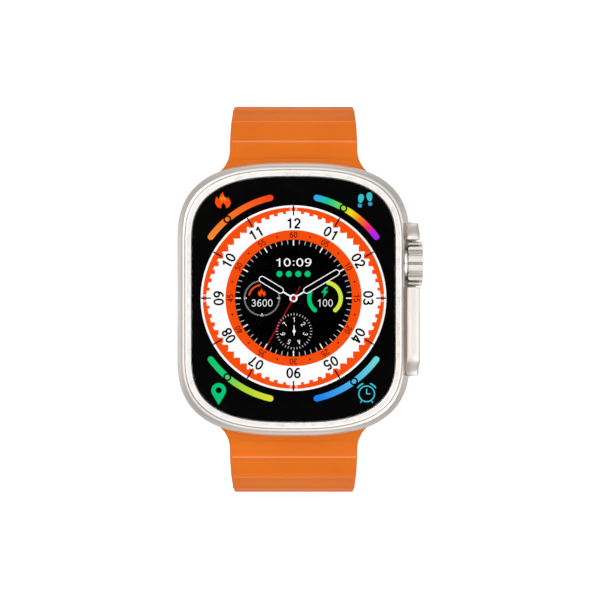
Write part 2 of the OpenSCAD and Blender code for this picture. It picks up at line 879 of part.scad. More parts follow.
module buckle_frame() {
    rail_boss = 1.6;
    rail_h = 2.6;
    middle = [(end_bar[0] + end_bar[1]) / 2, end_bar_top / 2];
    fall = atan2(middle.y - bar.y, middle.x - bar.x);
    color("#d9d1c8") centred() difference() {
        union() {
            translate([-rail_out, 0, 0]) rotate([90, 0, 90]) linear_extrude(2 * rail_out)
                end_bar_section();
            for (side = [0, 1]) mirror([side, 0, 0]) {
                rod(rail_boss, rail_in, rail_out, bar.x, bar.y);
                ribbon([[bar.x, bar.y, fall], [middle.x, middle.y, fall]], rail_h, rail_in, rail_out);
            }
        }
        rod(bar_pin_r + 0.03, -rail_out + 0.4, rail_out - 0.4, bar.x, bar.y);
        // Grooves that the prongs' tips lie in
        for (side = [-1, 1])
            block([side * prong_x - 0.9, end_bar[0] - 1, -1],
                  [side * prong_x + 0.9, end_bar[1] + 1, prong_z + prong_t / 2 + 0.05]);
    }
}

module buckle_bar() {
    color("#a8a8a6") centred() union() {
        rod(bar_r, -strap_w / 2, strap_w / 2, bar.x, bar.y);
        rod(bar_pin_r, -rail_out + 0.5, rail_out - 0.5, bar.x, bar.y);
    }
}

module buckle_tongue() {
    color("#d9d1c8") centred() difference() {
        union() {
            rod(tongue_r, -tongue_half, tongue_half, bar.x, bar.y);
            for (side = [-1, 1])
                ribbon(prong_line, prong_t, side * prong_x - prong_w / 2, side * prong_x + prong_w / 2);
        }
        rod(bar_r + 0.03, -case_w, case_w, bar.x, bar.y);
    }
}

module keeper() {
    play = 0.15;
    high = 2 * keeper_t + 6.2;
    wide = strap_w + 2 * play;
    color("#d9d1c8") centred() translate([0, keeper_y + keeper_w / 2, high / 2]) rotate([90, 0, 0])
        difference() {
            slab([wide + 2 * keeper_t, high], 1.4, 0, keeper_w);
            slab([wide, high - 2 * keeper_t], 0.15, -1, keeper_w + 1);
        }
}

case_body();
front_bezel();
cover_crystal();
crystal_gasket();
display_panel();
display_flex();
mid_frame();
main_board();
processor_shield();
gps_antenna();
battery();
battery_flex();
haptic_motor();
loudspeaker();
speaker_mesh();
microphone();
altimeter_sensor();
back_plate();
back_gasket();
back_screws();
sensor_ring();
sensor_window();
sensor_board();
sensor_leds();
sensor_flex();
charging_coil();
crown_tube();
crown_knob();
crown_cap();
crown_stem();
crown_seals();
crown_encoder_wheel();
crown_thrust_plate();
crown_switch();
side_button();
side_button_seal();
side_button_switch();
action_button();
action_button_seal();
action_button_switch();
release_button_top();
release_button_bottom();
lug_top();
lug_bottom();
latch_pins();
latch_springs();
strap_short();
strap_long();
buckle_frame();
buckle_bar();
buckle_tongue();
keeper();
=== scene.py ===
import json
import math

import bmesh
import bpy
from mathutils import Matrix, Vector

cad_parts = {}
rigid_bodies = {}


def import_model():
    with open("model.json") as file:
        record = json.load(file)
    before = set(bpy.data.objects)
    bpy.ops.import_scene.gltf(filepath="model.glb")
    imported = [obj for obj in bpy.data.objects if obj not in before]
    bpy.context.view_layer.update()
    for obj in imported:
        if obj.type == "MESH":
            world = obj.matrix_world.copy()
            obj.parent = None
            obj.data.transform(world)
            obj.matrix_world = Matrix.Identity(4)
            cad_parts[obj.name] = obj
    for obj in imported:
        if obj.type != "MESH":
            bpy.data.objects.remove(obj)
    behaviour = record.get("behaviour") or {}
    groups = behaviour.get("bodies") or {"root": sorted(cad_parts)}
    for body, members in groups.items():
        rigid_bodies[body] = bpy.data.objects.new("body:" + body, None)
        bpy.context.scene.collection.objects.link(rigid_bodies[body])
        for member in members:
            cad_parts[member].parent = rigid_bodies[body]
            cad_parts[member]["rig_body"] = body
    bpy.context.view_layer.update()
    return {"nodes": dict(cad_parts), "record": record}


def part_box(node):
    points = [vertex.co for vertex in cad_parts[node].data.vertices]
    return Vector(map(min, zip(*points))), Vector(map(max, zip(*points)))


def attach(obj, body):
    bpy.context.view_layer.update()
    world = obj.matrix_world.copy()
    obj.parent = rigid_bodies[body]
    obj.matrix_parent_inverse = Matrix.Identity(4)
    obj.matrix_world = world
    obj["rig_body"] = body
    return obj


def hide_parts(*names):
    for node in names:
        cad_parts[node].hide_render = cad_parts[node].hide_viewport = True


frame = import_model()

# ---- sizes, in millimetres
MM = 0.001


def box_mm(node):
    """The lowest and highest corners of a CAD node, in millimetres."""
    low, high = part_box(node)
    return low / MM, high / MM


bezel_low, bezel_high = box_mm("front_bezel")
body_low, body_high = box_mm("case_body")
glass_low, glass_high = box_mm("cover_crystal")
plate_low, plate_high = box_mm("back_plate")
knob_low, knob_high = box_mm("crown_knob")
button_low, button_high = box_mm("side_button")
action_low, action_high = box_mm("action_button")
bar_low, bar_high = box_mm("buckle_bar")

# Case; its profiles give heights below the lip
CASE_X = (bezel_low.x + bezel_high.x) / 2
LIP_Z = bezel_high.z
BACK_Z = plate_low.z
HALF_L = body_high.y
HALF_W = CASE_X - body_low.x
SIDE_FLAT = 9.65
CORNER_POWER = 2.8
OUTLINE_STEPS = 40
LIP_INSET = 1.5
LIP_W = 1.13
GLASS_INSET = LIP_INSET + LIP_W + 0.05
SHOULDER_INSET = 1.39
SHOULDER_TOP = -0.85
SHOULDER_H = 3.25
BELLY_INSET = 2.4
BELLY_TOP = -8.4
CASE_FLOOR = -12.0

# Guard, crown and the crown's pocket
GUARD_REACH = body_high.x - CASE_X
GUARD_HALF = 13.7
GUARD_FADE = 14.6
GUARD_TOP = -2.6
GUARD_BOTTOM = -9.8
GUARD_STEP = 0.2
TOP_DROOP = 1.6
BOTTOM_DROOP = 1.8
EDGE_R = 0.1
CROWN_Y = (knob_low.y + knob_high.y) / 2
CROWN_Z = (knob_low.z + knob_high.z) / 2
CROWN_R = (knob_high.z - knob_low.z) / 2
CROWN_TEETH = 15
TOOTH_STEPS = 32
TOOTH_H = 0.4
TOOTH_WIDTH = 0.21
CAP_R = 3.0
POCKET_HALF = CROWN_R + 0.25
POCKET_X = 19.8
POCKET_LEDGE = -10.36
LEDGE_X = 22.2
TUBE_R = 2.0

# Buttons, holes and slots of the case
BUTTON_Y = (button_low.y + button_high.y) / 2
BUTTON_FLOOR = 20.4
ACTION_FLOOR = 19.4
WELL_SLACK = 0.2
BUTTON_SOFT = 0.22
PIN_R = 0.7
PIN_BORE_R = 0.76
PIN_END = 16.2
WALL_INSIDE = 16.0
RELEASE_Y = 21.8
SPEAKER_Y = (8.4, 11.6)
MIC_Y = -9.5
HOLE_END = 15.5
SLOT_BACK = 20.3
SLOT_FRONT = 23.3
SCREW_X = 13.2
SCREW_Y = 15.8
SCREW_HEAD = 2.6
SCREW_SHANK = 1.4
MIC_D = 0.8

# Glass and dial
DIAL_BASE = glass_low.z
CRYSTAL_LOW = DIAL_BASE + 0.075
DIAL_Y = 0.2
LAYER = 0.012
CHAPTER_OUT = 16.5
CHAPTER_IN = 12.1
MINUTES_IN = 10.4
COUNTER_X = 5.6
COUNTER_R = 3.22
GAUGE_R = 18.3

# Strap
STRAP_T = 2.9
STRAP_HALF = 11.5
LEAVE = math.radians(18)
NECK_Y = 25.0
NECK_Z = BACK_Z + 4.45
LOOP_HALF = 34.3
UPPER_R = (LOOP_HALF - NECK_Y) / (1 - math.sin(LEAVE))
UPPER_Z = NECK_Z - UPPER_R * math.cos(LEAVE)
BAR_Z = (bar_low.z + bar_high.z) / 2
INNER_Z = BAR_Z - 0.05
FLAT_HALF = 14.0
LOWER_R = LOOP_HALF - FLAT_HALF
LOWER_Z = INNER_Z + LOWER_R
TAIL_Z = 2.5
STRAP_START = 22.6
STRAP_END = -1.7
START_Z = NECK_Z + (NECK_Y - STRAP_START) * math.tan(LEAVE)
NECK_LENGTH = (NECK_Y - STRAP_START) / math.cos(LEAVE)
BEND_FROM = 11.5
BEND_L = 10.0
BEND_TURN = 2 * math.atan((INNER_Z - TAIL_Z) / BEND_L)
BEND_R = BEND_L / (2 * math.sin(BEND_TURN))
TAIL_R = LOWER_R + INNER_Z - TAIL_Z
TAIL_TURN = math.radians(35)
STRAP_STEP = 0.18
MERGE_LENGTH = 3.4
RIB_PITCH = 4.55
RIB_DEPTH = 0.3
RIB_WIDTH = 0.17
FIRST_RIB = NECK_LENGTH + 3.1
# Half width of the paler strip painted along each rib's crest as a highlight
CREST_HIGHLIGHT_HALF = 0.14
TOP_STEPS = 10
FLARE_R = 4.6
FLARE_Y = 26.6
FLARE_HALF = 13.3
EDGE_ROUND = 0.42
TIP_R = 6.0
END_R = 0.5
PRONG_X = 4.0
END_GAP = 0.04
SHORT_RIBBED = 88.0
LONG_RIBBED = 84.0
EYE_Y = -0.5
EYE_R = 0.9
RECESS_Y = 0.95
RECESS_HALF = 5.1
FIRST_HOLE = 2.6
HOLE_PITCH = 4.8


# ---- small helpers
def lerp(a, b, t):
    return a + (b - a) * t


def smooth(t):
    t = min(max(t, 0.0), 1.0)
    return t * t * (3 - 2 * t)


def steps(low, high, count):
    return [lerp(low, high, i / count) for i in range(count + 1)]


def bow(x, y, rx, ry, start, end, count=None):
    """Points of an ellipse's arc, by angle in degrees from the first axis."""
    count = count or max(3, round(abs(end - start) / 15))
    angles = [math.radians(t) for t in steps(start, end, count)]
    return [(x + rx * math.cos(a), y + ry * math.sin(a)) for a in angles]


def round_about(x, y, r, count, start=0):
    """A full circle of `count` points."""
    return bow(x, y, r, r, start, start + 360, count)[:-1]


def linear(r, g, b):
    """A colour given in 0 to 255 display values, as linear light."""
    shares = [v / 255 for v in (r, g, b)]
    return tuple(v / 12.92 if v <= 0.04045 else ((v + 0.055) / 1.055) ** 2.4 for v in shares) + (1.0,)


def grey(v):
    return (v, v, v, 1.0)


def shade(colour, share):
    """The colour with its light multiplied by a share."""
    return tuple(c * share for c in colour[:3]) + (1.0,)


# ---- materials
class Nodes:
    """Short ways to build a tree of shader nodes."""

    def __init__(self, tree):
        self.tree = tree

    def node(self, kind, **values):
        made = self.tree.nodes.new(kind)
        for key, value in values.items():
            setattr(made, key, value)
        return made

    def link(self, source, target):
        self.tree.links.new(source, target)

    def ramp(self, value, *stops):
        made = self.node("ShaderNodeValToRGB")
        elements = made.color_ramp.elements
        while len(elements) < len(stops):
            elements.new(0.5)
        for element, (position, colour) in zip(elements, stops):
            element.position = position
            element.color = colour
        self.link(value, made.inputs["Fac"])
        return made.outputs["Color"]

    def mapped(self, value, low, high, start=0.0, end=1.0):
        """Maps start..end to low..high."""
        made = self.node("ShaderNodeMapRange")
        for key, number in (("From Min", start), ("From Max", end), ("To Min", low), ("To Max", high)):
            made.inputs[key].default_value = number
        self.link(value, made.inputs["Value"])
        return made.outputs["Result"]

    def camera_ray(self):
        return self.node("ShaderNodeLightPath").outputs["Is Camera Ray"]

    def parts(self, place):
        """The X, Y and Z outputs of a place."""
        split = self.node("ShaderNodeSeparateXYZ")
        self.link(place, split.inputs["Vector"])
        return split.outputs

    def diagonal_share(self, place):
        """0 along the axes and 1 on the diagonals, seen from the middle."""
        parts = self.parts(place)
        turn = self.node("ShaderNodeMath", operation="ARCTAN2")
        self.link(parts["Y"], turn.inputs[0])
        self.link(parts["X"], turn.inputs[1])
        double = self.node("ShaderNodeMath", operation="MULTIPLY")
        double.inputs[1].default_value = 2.0
        self.link(turn.outputs["Value"], double.inputs[0])
        value = double.outputs["Value"]
        for operation in ("SINE", "ABSOLUTE"):
            step = self.node("ShaderNodeMath", operation=operation)
            self.link(value, step.inputs[0])
            value = step.outputs["Value"]
        return value


class Surface(Nodes):
    """A Principled material and short ways to drive its sockets."""

    def __init__(self, name, colour, **sockets):
        self.material = bpy.data.materials.new(name)
        self.material.use_nodes = True
        self.material.diffuse_color = colour
        super().__init__(self.material.node_tree)
        self.shader = self.tree.nodes["Principled BSDF"]
        self.shader.inputs["Base Color"].default_value = colour
        for key, value in sockets.items():
            title = key.replace("_", " ").title().replace("Ior", "IOR")
            self.shader.inputs[title].default_value = value
        self.place = self.node("ShaderNodeTexCoord").outputs["Object"]

    def stretched(self, x=1.0, y=1.0, z=1.0, move=(0, 0, 0)):
        mapping = self.node("ShaderNodeMapping")
        mapping.inputs["Scale"].default_value = (x, y, z)
        mapping.inputs["Location"].default_value = move
        self.link(self.place, mapping.inputs["Vector"])
        return mapping.outputs["Vector"]

    def about(self, x, y):
        """Places measured from an upright axis."""
        return self.stretched(move=(-x * MM, -y * MM, 0))

    def noise(self, size, detail=3.0, place=None):
        made = self.node("ShaderNodeTexNoise")
        made.inputs["Scale"].default_value = 1 / (size * MM)
        made.inputs["Detail"].default_value = detail
        self.link(place or self.place, made.inputs["Vector"])
        return made.outputs["Fac"]

    def cells(self, size, place=None, feature="F1"):
        made = self.node("ShaderNodeTexVoronoi", feature=feature)
        made.inputs["Scale"].default_value = 1 / (size * MM)
        self.link(place or self.place, made.inputs["Vector"])
        return made.outputs["Distance"]

    def colour(self, output):
        self.link(output, self.shader.inputs["Base Color"])

    def clouds(self, size, detail, first, second):
        """Soft clouds between two colours."""
        self.colour(self.ramp(self.noise(size, detail), (0.3, first), (0.7, second)))

    def roughness(self, value, low, high):
        """Maps the middle of a noise to a roughness."""
        self.link(self.mapped(value, low, high, 0.3, 0.7), self.shader.inputs["Roughness"])

    def gloss(self, size, detail, low, high):
        """An uneven roughness."""
        self.roughness(self.noise(size, detail), low, high)

    def bump(self, value, height, under=None):
        made = self.node("ShaderNodeBump")
        made.inputs["Strength"].default_value = 1.0
        made.inputs["Distance"].default_value = height * MM
        self.link(value, made.inputs["Height"])
        if under:
            self.link(under, made.inputs["Normal"])
        self.link(made.outputs["Normal"], self.shader.inputs["Normal"])
        return made.outputs["Normal"]


def clouded_metal(name, colour, rough, clouds, gloss, grain):
    """Metal: clouds [size, detail, darkest share], gloss [size, detail, less, more], grain [size, height]."""
    s = Surface(name, colour, metallic=1.0, roughness=rough)
    s.clouds(clouds[0], clouds[1], shade(colour, clouds[2]), colour)
    s.gloss(gloss[0], gloss[1], rough - gloss[2], rough + gloss[3])
    s.bump(s.noise(grain[0], 2.0), grain[1])
    return s.material


def blasted_metal(name, colour, rough):
    """Bead-blasted metal: a fine grain and faint clouds in tone and gloss."""
    return clouded_metal(name, colour, rough, (6.0, 2.0, 0.95), (0.5, 4.0, 0.04, 0.05), (0.09, 0.004))


def satin_metal(name, colour, rough):
    """Fine satin metal, almost even, with the faintest cloud in its gloss."""
    return clouded_metal(name, colour, rough, (3.0, 3.0, 0.985), (1.2, 3.0, 0.02, 0.03), (1.5, 0.0003))


def turned_metal(name, colour, rough):
    """Machined metal with a fine even grain and slight clouds in its gloss."""
    return clouded_metal(name, colour, rough, (1.5, 3.0, 0.96), (0.3, 3.0, 0.03, 0.05), (0.05, 0.001))


def brushed_metal(name, colour, rough):
    """Metal with fine straight brushing along X."""
    s = Surface(name, colour, metallic=1.0, roughness=rough)
    strokes = s.noise(0.06, 3.0, s.stretched(x=0.04))
    s.roughness(strokes, rough - 0.06, rough + 0.08)
    s.bump(strokes, 0.0025)
    return s.material


def elastomer(name, colour, deeper):
    """Moulded fluoroelastomer: a soft satin skin with faint clouds and fine grain."""
    s = Surface(name, colour, roughness=0.42, specular_ior_level=0.12, subsurface_weight=0.06,
                subsurface_scale=0.8 * MM, subsurface_radius=(1.0, 0.35, 0.1))
    s.clouds(9.0, 3.0, deeper, colour)
    s.gloss(0.7, 4.0, 0.41, 0.54)
    fine = s.bump(s.noise(0.12, 3.0), 0.006)
    s.bump(s.noise(1.6, 2.0), 0.02, fine)
    return s.material


def plastic(name, colour, rough, grain=0.15, height=0.004, lift=1.25):
    """Moulded plastic or rubber with a fine texture."""
    s = Surface(name, colour, roughness=rough)
    paler = tuple(min(1.0, c * lift + 0.002) for c in colour[:3]) + (1.0,)
    s.clouds(2.5, 3.0, colour, paler)
    s.gloss(0.4, 3.0, rough - 0.05, rough + 0.07)
    s.bump(s.noise(grain, 2.0), height)
    return s.material


def lit_surface(name, strength):
    """A matt black surface that gives light of its own."""
    return Surface(name, grey(0.0), roughness=0.9, specular_ior_level=0.0, emission_strength=strength)


def glow(name, colour, strength):
    """Lit picture elements of the display: a fine grid of dots in one colour."""
    s = lit_surface(name, strength)
    dots = s.node("ShaderNodeTexWhiteNoise", noise_dimensions="3D")
    s.link(s.stretched(9000, 9000, 9000), dots.inputs["Vector"])
    lit = s.ramp(dots.outputs["Value"], (0.0, shade(colour, 0.965)), (1.0, colour))
    s.link(lit, s.shader.inputs["Emission Color"])
    return s.material


def glow_round(name, x, y, stops, strength):
    """A display colour that changes with the angle about a point; stops are [turn share, colour]."""
    s = lit_surface(name, strength)
    turn = s.node("ShaderNodeTexGradient", gradient_type="RADIAL")
    s.link(s.about(x, y), turn.inputs["Vector"])
    s.link(s.ramp(turn.outputs["Fac"], *stops), s.shader.inputs["Emission Color"])
    return s.material


def unlit_panel(name):
    """The display where no picture element is lit: black, with the faintest clouds."""
    s = Surface(name, grey(0.001), roughness=0.8, specular_ior_level=0.0)
    s.clouds(3.0, 2.0, grey(0.0006), grey(0.0016))
    return s.material


def clear_glass(name):
    s = Surface(name, grey(1.0), roughness=0.0, ior=1.6, transmission_weight=1.0)
    s.gloss(4.0, 2.0, 0.0, 0.004)
    return s.material


def dark_glass(name):
    """The domed window: near black, with a faint violet cast where it is thin."""
    s = Surface(name, (0.010, 0.010, 0.013, 1.0), roughness=0.04, ior=1.52, coat_weight=0.6,
                coat_roughness=0.02)
    s.clouds(5.0, 2.0, (0.006, 0.006, 0.008, 1), (0.014, 0.011, 0.02, 1))
    s.gloss(1.5, 3.0, 0.03, 0.07)
    return s.material


def circuit_board(name, colour, traces):
    """Solder mask over copper tracks."""
    s = Surface(name, colour, roughness=0.35)
    lines = s.cells(0.9, s.stretched(y=0.6), "DISTANCE_TO_EDGE")
    s.colour(s.ramp(lines, (0.02, traces), (0.08, colour)))
    s.gloss(0.8, 2.0, 0.28, 0.45)
    s.bump(lines, 0.02)
    return s.material


def woven_mesh(name):
    """Fine woven wire cloth."""
    s = Surface(name, grey(0.12), metallic=1.0, roughness=0.4)
    holes = s.cells(0.18)
    # The near black spots are painted shade for the openings between the wires
    s.colour(s.ramp(holes, (0.15, grey(0.01)), (0.45, grey(0.2))))
    s.gloss(0.3, 2.0, 0.32, 0.48)
    s.bump(holes, 0.04)
    return s.material


def wound_copper(name, x, y):
    """Enamelled wire wound in rings about an upright axis."""
    s = Surface(name, (0.62, 0.27, 0.11, 1), metallic=0.9, roughness=0.3)
    turns = s.node("ShaderNodeTexWave", wave_type="RINGS", rings_direction="Z", wave_profile="SIN")
    turns.inputs["Scale"].default_value = 1 / (1.6 * MM)
    s.link(s.about(x, y), turns.inputs["Vector"])
    wave = turns.outputs["Fac"]
    # Darker where the wave is low: painted shade in the grooves between the turns
    s.colour(s.ramp(wave, (0.2, (0.25, 0.08, 0.03, 1)), (0.7, (0.7, 0.33, 0.14, 1))))
    s.gloss(0.5, 2.0, 0.24, 0.38)
    s.bump(wave, 0.04)
    return s.material


LOOKS = {
    "titanium": blasted_metal("titanium", (0.745, 0.70, 0.655, 1.0), 0.36),
    "polished_titanium": satin_metal("polished_titanium", (0.97, 0.925, 0.89, 1.0), 0.28),
    # A darker copy of the case's titanium for the crown: its finish is turned, and its lower tone is painted
    # shade
    "turned_titanium": turned_metal("turned_titanium", (0.62, 0.585, 0.55, 1.0), 0.25),
    "crystal": clear_glass("crystal"),
    "display": unlit_panel("display"),
    "gasket": plastic("gasket", grey(0.012), 0.62),
    "flex": plastic("flex", (0.50, 0.24, 0.07, 1), 0.38, 0.4, 0.01),
    "inner_frame": plastic("inner_frame", (0.05, 0.055, 0.06, 1), 0.5),
    "board": circuit_board("board", (0.02, 0.11, 0.05, 1), (0.10, 0.28, 0.10, 1)),
    "shield": brushed_metal("shield", (0.62, 0.63, 0.65, 1), 0.34),
    "antenna": plastic("antenna", (0.72, 0.62, 0.44, 1), 0.55, 0.08, 0.006, 1.08),
    "battery": plastic("battery", (0.045, 0.05, 0.065, 1), 0.33, 0.6, 0.02),
    "module": plastic("module", (0.03, 0.03, 0.034, 1), 0.45),
    "mesh": woven_mesh("mesh"),
    "back": plastic("back", (0.020, 0.020, 0.023, 1), 0.30, 0.3, 0.002),
    "screw": turned_metal("screw", (0.55, 0.55, 0.56, 1), 0.30),
    "window": dark_glass("window"),
    "copper": wound_copper("copper", CASE_X, 0),
    "leds": plastic("leds", (0.55, 0.62, 0.45, 1), 0.18, 0.2, 0.001, 1.1),
    "steel": brushed_metal("steel", (0.60, 0.60, 0.59, 1), 0.26),
    "strap": elastomer("strap", (0.735, 0.156, 0.008, 1), (0.70, 0.145, 0.007, 1)),
    # A paler orange for the rib crests: a painted highlight, as the rubber itself is one colour
    "strap_crest_highlight": elastomer("strap_crest_highlight", (0.80, 0.235, 0.07, 1), (0.78, 0.215, 0.055, 1)),
    "lug": plastic("lug", (0.52, 0.095, 0.012, 1), 0.5, 0.12, 0.004, 1.1),
}
SLOT_OF = {part["node"]: part["material_slot"] for part in frame["record"]["subparts"]}


def dress_cad_nodes():
    """Every CAD node that stays visible takes the procedural material of its slot."""
    for name, item in frame["nodes"].items():
        item.data.materials.clear()
        item.data.materials.append(LOOKS[SLOT_OF[name]])
        item.data.shade_smooth()
        item.data.set_sharp_from_angle(angle=math.radians(32))


# ---- meshes
def placed(name, data):
    """A new object in the scene."""
    item = bpy.data.objects.new(name, data)
    bpy.context.scene.collection.objects.link(item)
    return item


def mesh_of(name, points, faces):
    """A mesh from points in millimetres."""
    mesh = bpy.data.meshes.new(name)
    mesh.from_pydata([Vector(p) * MM for p in points], [], faces)
    mesh.validate()
    return mesh


def turn_outward(mesh, weld=None):
    """Turns the faces outward, after joining points nearer than `weld` metres."""
    work = bmesh.new()
    work.from_mesh(mesh)
    if weld:
        bmesh.ops.remove_doubles(work, verts=work.verts, dist=weld)
    bmesh.ops.recalc_face_normals(work, faces=work.faces)
    work.to_mesh(mesh)
    work.free()


def tidy_mesh(item, sharp=35.0, weld=1e-7):
    """Welds, turns the faces outward and keeps edges steeper than `sharp` degrees crisp."""
    turn_outward(item.data, weld)
    item.data.shade_smooth()
    item.data.set_sharp_from_angle(angle=math.radians(sharp))


def ring_faces(rings, count, closed_rings=False):
    """Faces of a skin over `rings` rings of `count` points each."""
    faces = []
    for k in range(rings if closed_rings else rings - 1):
        a, b = k * count, ((k + 1) % rings) * count
        for i in range(count):
            j = (i + 1) % count
            faces.append((a + i, a + j, b + j, b + i))
    if not closed_rings:
        faces.append(tuple(reversed(range(count))))
        faces.append(tuple(range((rings - 1) * count, rings * count)))
    return faces


def skin(name, rings, look=None, sharp=35.0, closed_rings=False):
    """A closed skin through rings of points."""
    points = [p for ring in rings for p in ring]
    item = placed(name, mesh_of(name, points, ring_faces(len(rings), len(rings[0]), closed_rings)))
    tidy_mesh(item, sharp)
    if look:
        item.data.materials.append(LOOKS[look])
    return item


def cut(item, *cutters):
    """Subtracts closed cutters from an object and removes them."""
    for cutter in cutters:
        boolean = item.modifiers.new("cut", "BOOLEAN")
        boolean.operation = "DIFFERENCE"
        boolean.solver = "EXACT"
        boolean.object = cutter
        graph = bpy.context.evaluated_depsgraph_get()
        baked = bpy.data.meshes.new_from_object(item.evaluated_get(graph))
        item.modifiers.clear()
        item.data = baked
        bpy.data.objects.remove(cutter)


def joined(cutters):
    """One cutter made of several that don't meet."""
    work = bmesh.new()
    for cutter in cutters:
        work.from_mesh(cutter.data)
        bpy.data.objects.remove(cutter)
    mesh = bpy.data.meshes.new("cutter")
    work.to_mesh(mesh)
    work.free()
    return placed("cutter", mesh)


def stand_for(item, *nodes):
    """The item rides with the body of the CAD nodes that it replaces, which are hidden."""
    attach(item, frame["nodes"][nodes[0]]["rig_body"])
    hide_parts(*nodes)
    return item


def soften(node, width):
    """A copy of a CAD node with its edges rounded; it replaces the node."""
    mesh = frame["nodes"][node].data.copy()
    item = placed(node + "_finished", mesh)
    work = bmesh.new()
    work.from_mesh(mesh)
    bmesh.ops.remove_doubles(work, verts=work.verts, dist=1e-6)
    bmesh.ops.dissolve_limit(work, angle_limit=math.radians(1), verts=work.verts, edges=work.edges)
    limit = math.radians(30)
    sharp = [e for e in work.edges if len(e.link_faces) == 2 and e.calc_face_angle(0) > limit]
    bmesh.ops.bevel(work, geom=sharp, offset=width * MM, segments=2, profile=0.6,
                    affect="EDGES", clamp_overlap=True)
    work.to_mesh(mesh)
    work.free()
    tidy_mesh(item, 38)
    mesh.materials.clear()
    mesh.materials.append(LOOKS[SLOT_OF[node]])
    stand_for(item, node)


# ---- outline of the case
def corner(dx, dy, t):
    """A point of the first quadrant's corner at the angle t, with the outline drawn in by dx, dy."""
    return (
        (HALF_W - dx) * math.cos(t) ** (2 / CORNER_POWER),
        SIDE_FLAT + (HALF_L - SIDE_FLAT - dy) * math.sin(t) ** (2 / CORNER_POWER),
    )


def corner_angle(y):
    """The angle t at which the outer outline passes y."""
    return math.asin(((y - SIDE_FLAT) / (HALF_L - SIDE_FLAT)) ** (CORNER_POWER / 2))


def outline(dx, dy):
    """Points round the case's outline, drawn in by dx and dy, about the case's centre."""
    quarter = [corner(dx, dy, t) for t in steps(0.0, math.pi / 2, OUTLINE_STEPS)]
    quarter[-1] = (0.0, quarter[-1][1])
    points = list(quarter)
    points += [(-x, y) for x, y in reversed(quarter[:-1])]
    points += [(-x, -y) for x, y in quarter]
    points += [(x, -y) for x, y in reversed(quarter[:-1])]
    return points


def ring_at(inset, z):
    """The case's outline, drawn in by `inset`, at the height z."""
    return [(CASE_X + x, y, z) for x, y in outline(inset, inset)]


# ---- case
def generic_profile():
    """The case's outer section away from the guard, as [inset, height below the lip]."""
    shoulder = bow(SHOULDER_INSET, SHOULDER_TOP - SHOULDER_H, SHOULDER_INSET, SHOULDER_H, 90, 180, 11)
    belly = bow(BELLY_INSET, BELLY_TOP, BELLY_INSET, BELLY_TOP - CASE_FLOOR, 180, 270, 9)
    return shoulder + [(0.0, -5.5), (0.0, -7.0)] + belly


def inner_profile():
    """The seats and the room inside, from the back's rim up to the shoulder: [dx, dy, height]."""
    return [
        (3.1, 4.4, CASE_FLOOR), (3.25, 4.55, -11.97), (3.33, 4.63, -11.85), (3.35, 4.65, -10.6),
        (4.4, 5.9, -10.6), (4.4, 5.9, -3.4), (3.5, 3.5, -3.4), (3.5, 3.5, -1.6),
        (2.64, 2.64, -1.6), (2.64, 2.64, -1.0), (1.64, 1.64, -1.0), (1.64, 1.64, -1.35),
        (1.45, 1.45, -1.35), (1.45, 1.45, -0.93), (1.425, 1.425, -0.87),
    ]


def guard_profile(reach, top, bottom):
    """The section through the guard, as [x from the case's centre, height below the lip]."""
    return [
        (19.41, SHOULDER_TOP), (19.48, -1.1), (19.57, -1.55), (19.7, -2.2), (19.82, -2.95), (19.92, -3.45),
        (20.04, -3.6), (20.15, -3.3), (20.27, top - 0.08), (20.4, top), (reach - 0.44, top),
        (reach - 0.2, top - 0.08), (reach - 0.06, top - 0.25), (reach, top - 0.5), (reach, top - 2.0),
        (reach, -7.6), (reach, bottom + 0.9), (reach - 0.25, bottom + 0.3), (reach - 0.9, bottom),
        (21.2, bottom), (20.6, max(bottom - 0.05, -11.1)), (20.25, max(bottom - 0.5, -11.2)),
        (19.55, -11.4), (18.4, CASE_FLOOR),
    ]


def pocket_profile():
    """The section through the crown's pocket, with the ledge below the crown."""
    top = [(19.41, SHOULDER_TOP), (19.5, -1.05), (19.62, -1.4), (POCKET_X - 0.05, -1.85)]
    wall = [(POCKET_X, z) for z in steps(-2.0, POCKET_LEDGE + 0.08, 14)]
    ledge = [(LEDGE_X, POCKET_LEDGE), (LEDGE_X, POCKET_LEDGE - 0.25), (21.0, POCKET_LEDGE - 0.7)]
    return top + wall + ledge + [(19.9, -11.35), (18.4, CASE_FLOOR)]


def guard_reach(y):
    """How far out the guard goes: even between its ends, which step back a little."""
    return GUARD_REACH + 0.03 - GUARD_STEP * smooth((abs(y - 0.3) - 11.4) / 1.5)


def guard_droop(y):
    """How far the guard's front face falls towards its two ends."""
    return TOP_DROOP * smooth((y - 10.9) / 2.9) + BOTTOM_DROOP * smooth((-y - 10.2) / 3.4)


def guard_stations():
    """Stations up the crown side as [y, share of guard, in the pocket, how much the edges shrink]."""
    low, high = CROWN_Y - POCKET_HALF, CROWN_Y + POCKET_HALF
    end = [13.0, 13.3] + steps(GUARD_HALF - 0.15, GUARD_HALF + 0.15, 8) + [14.0, 14.3, GUARD_FADE]
    ends = [(y, smooth((GUARD_HALF + 0.1 - y) / 0.2), False, 0.0) for y in end]
    edge = bow(EDGE_R, EDGE_R, EDGE_R, EDGE_R, 270, 180, 4)
    rows = [(-y, *rest) for y, *rest in reversed(ends)]
    rows += [(y, 1.0, False, 0.0) for y in steps(-12.7, low - 0.4, 22)]
    rows += [(low - away, 1.0, False, shrink) for away, shrink in edge]
    rows += [(y, 0.0, True, 0.0) for y in steps(low + 0.01, high - 0.01, 6)]
    rows += [(high + away, 1.0, False, shrink) for away, shrink in reversed(edge)]
    rows += [(y, 1.0, False, 0.0) for y in steps(high + 0.45, 12.7, 6)]
    return rows + ends


def plain_section(place):
    """The outer and inner points of one station; place(dx, dy) gives the drawn-in outline there."""
    outer = [(*place(inset, inset), z) for inset, z in generic_profile()]
    inner = [(*place(dx, dy), z) for dx, dy, z in inner_profile()]
    return outer, inner


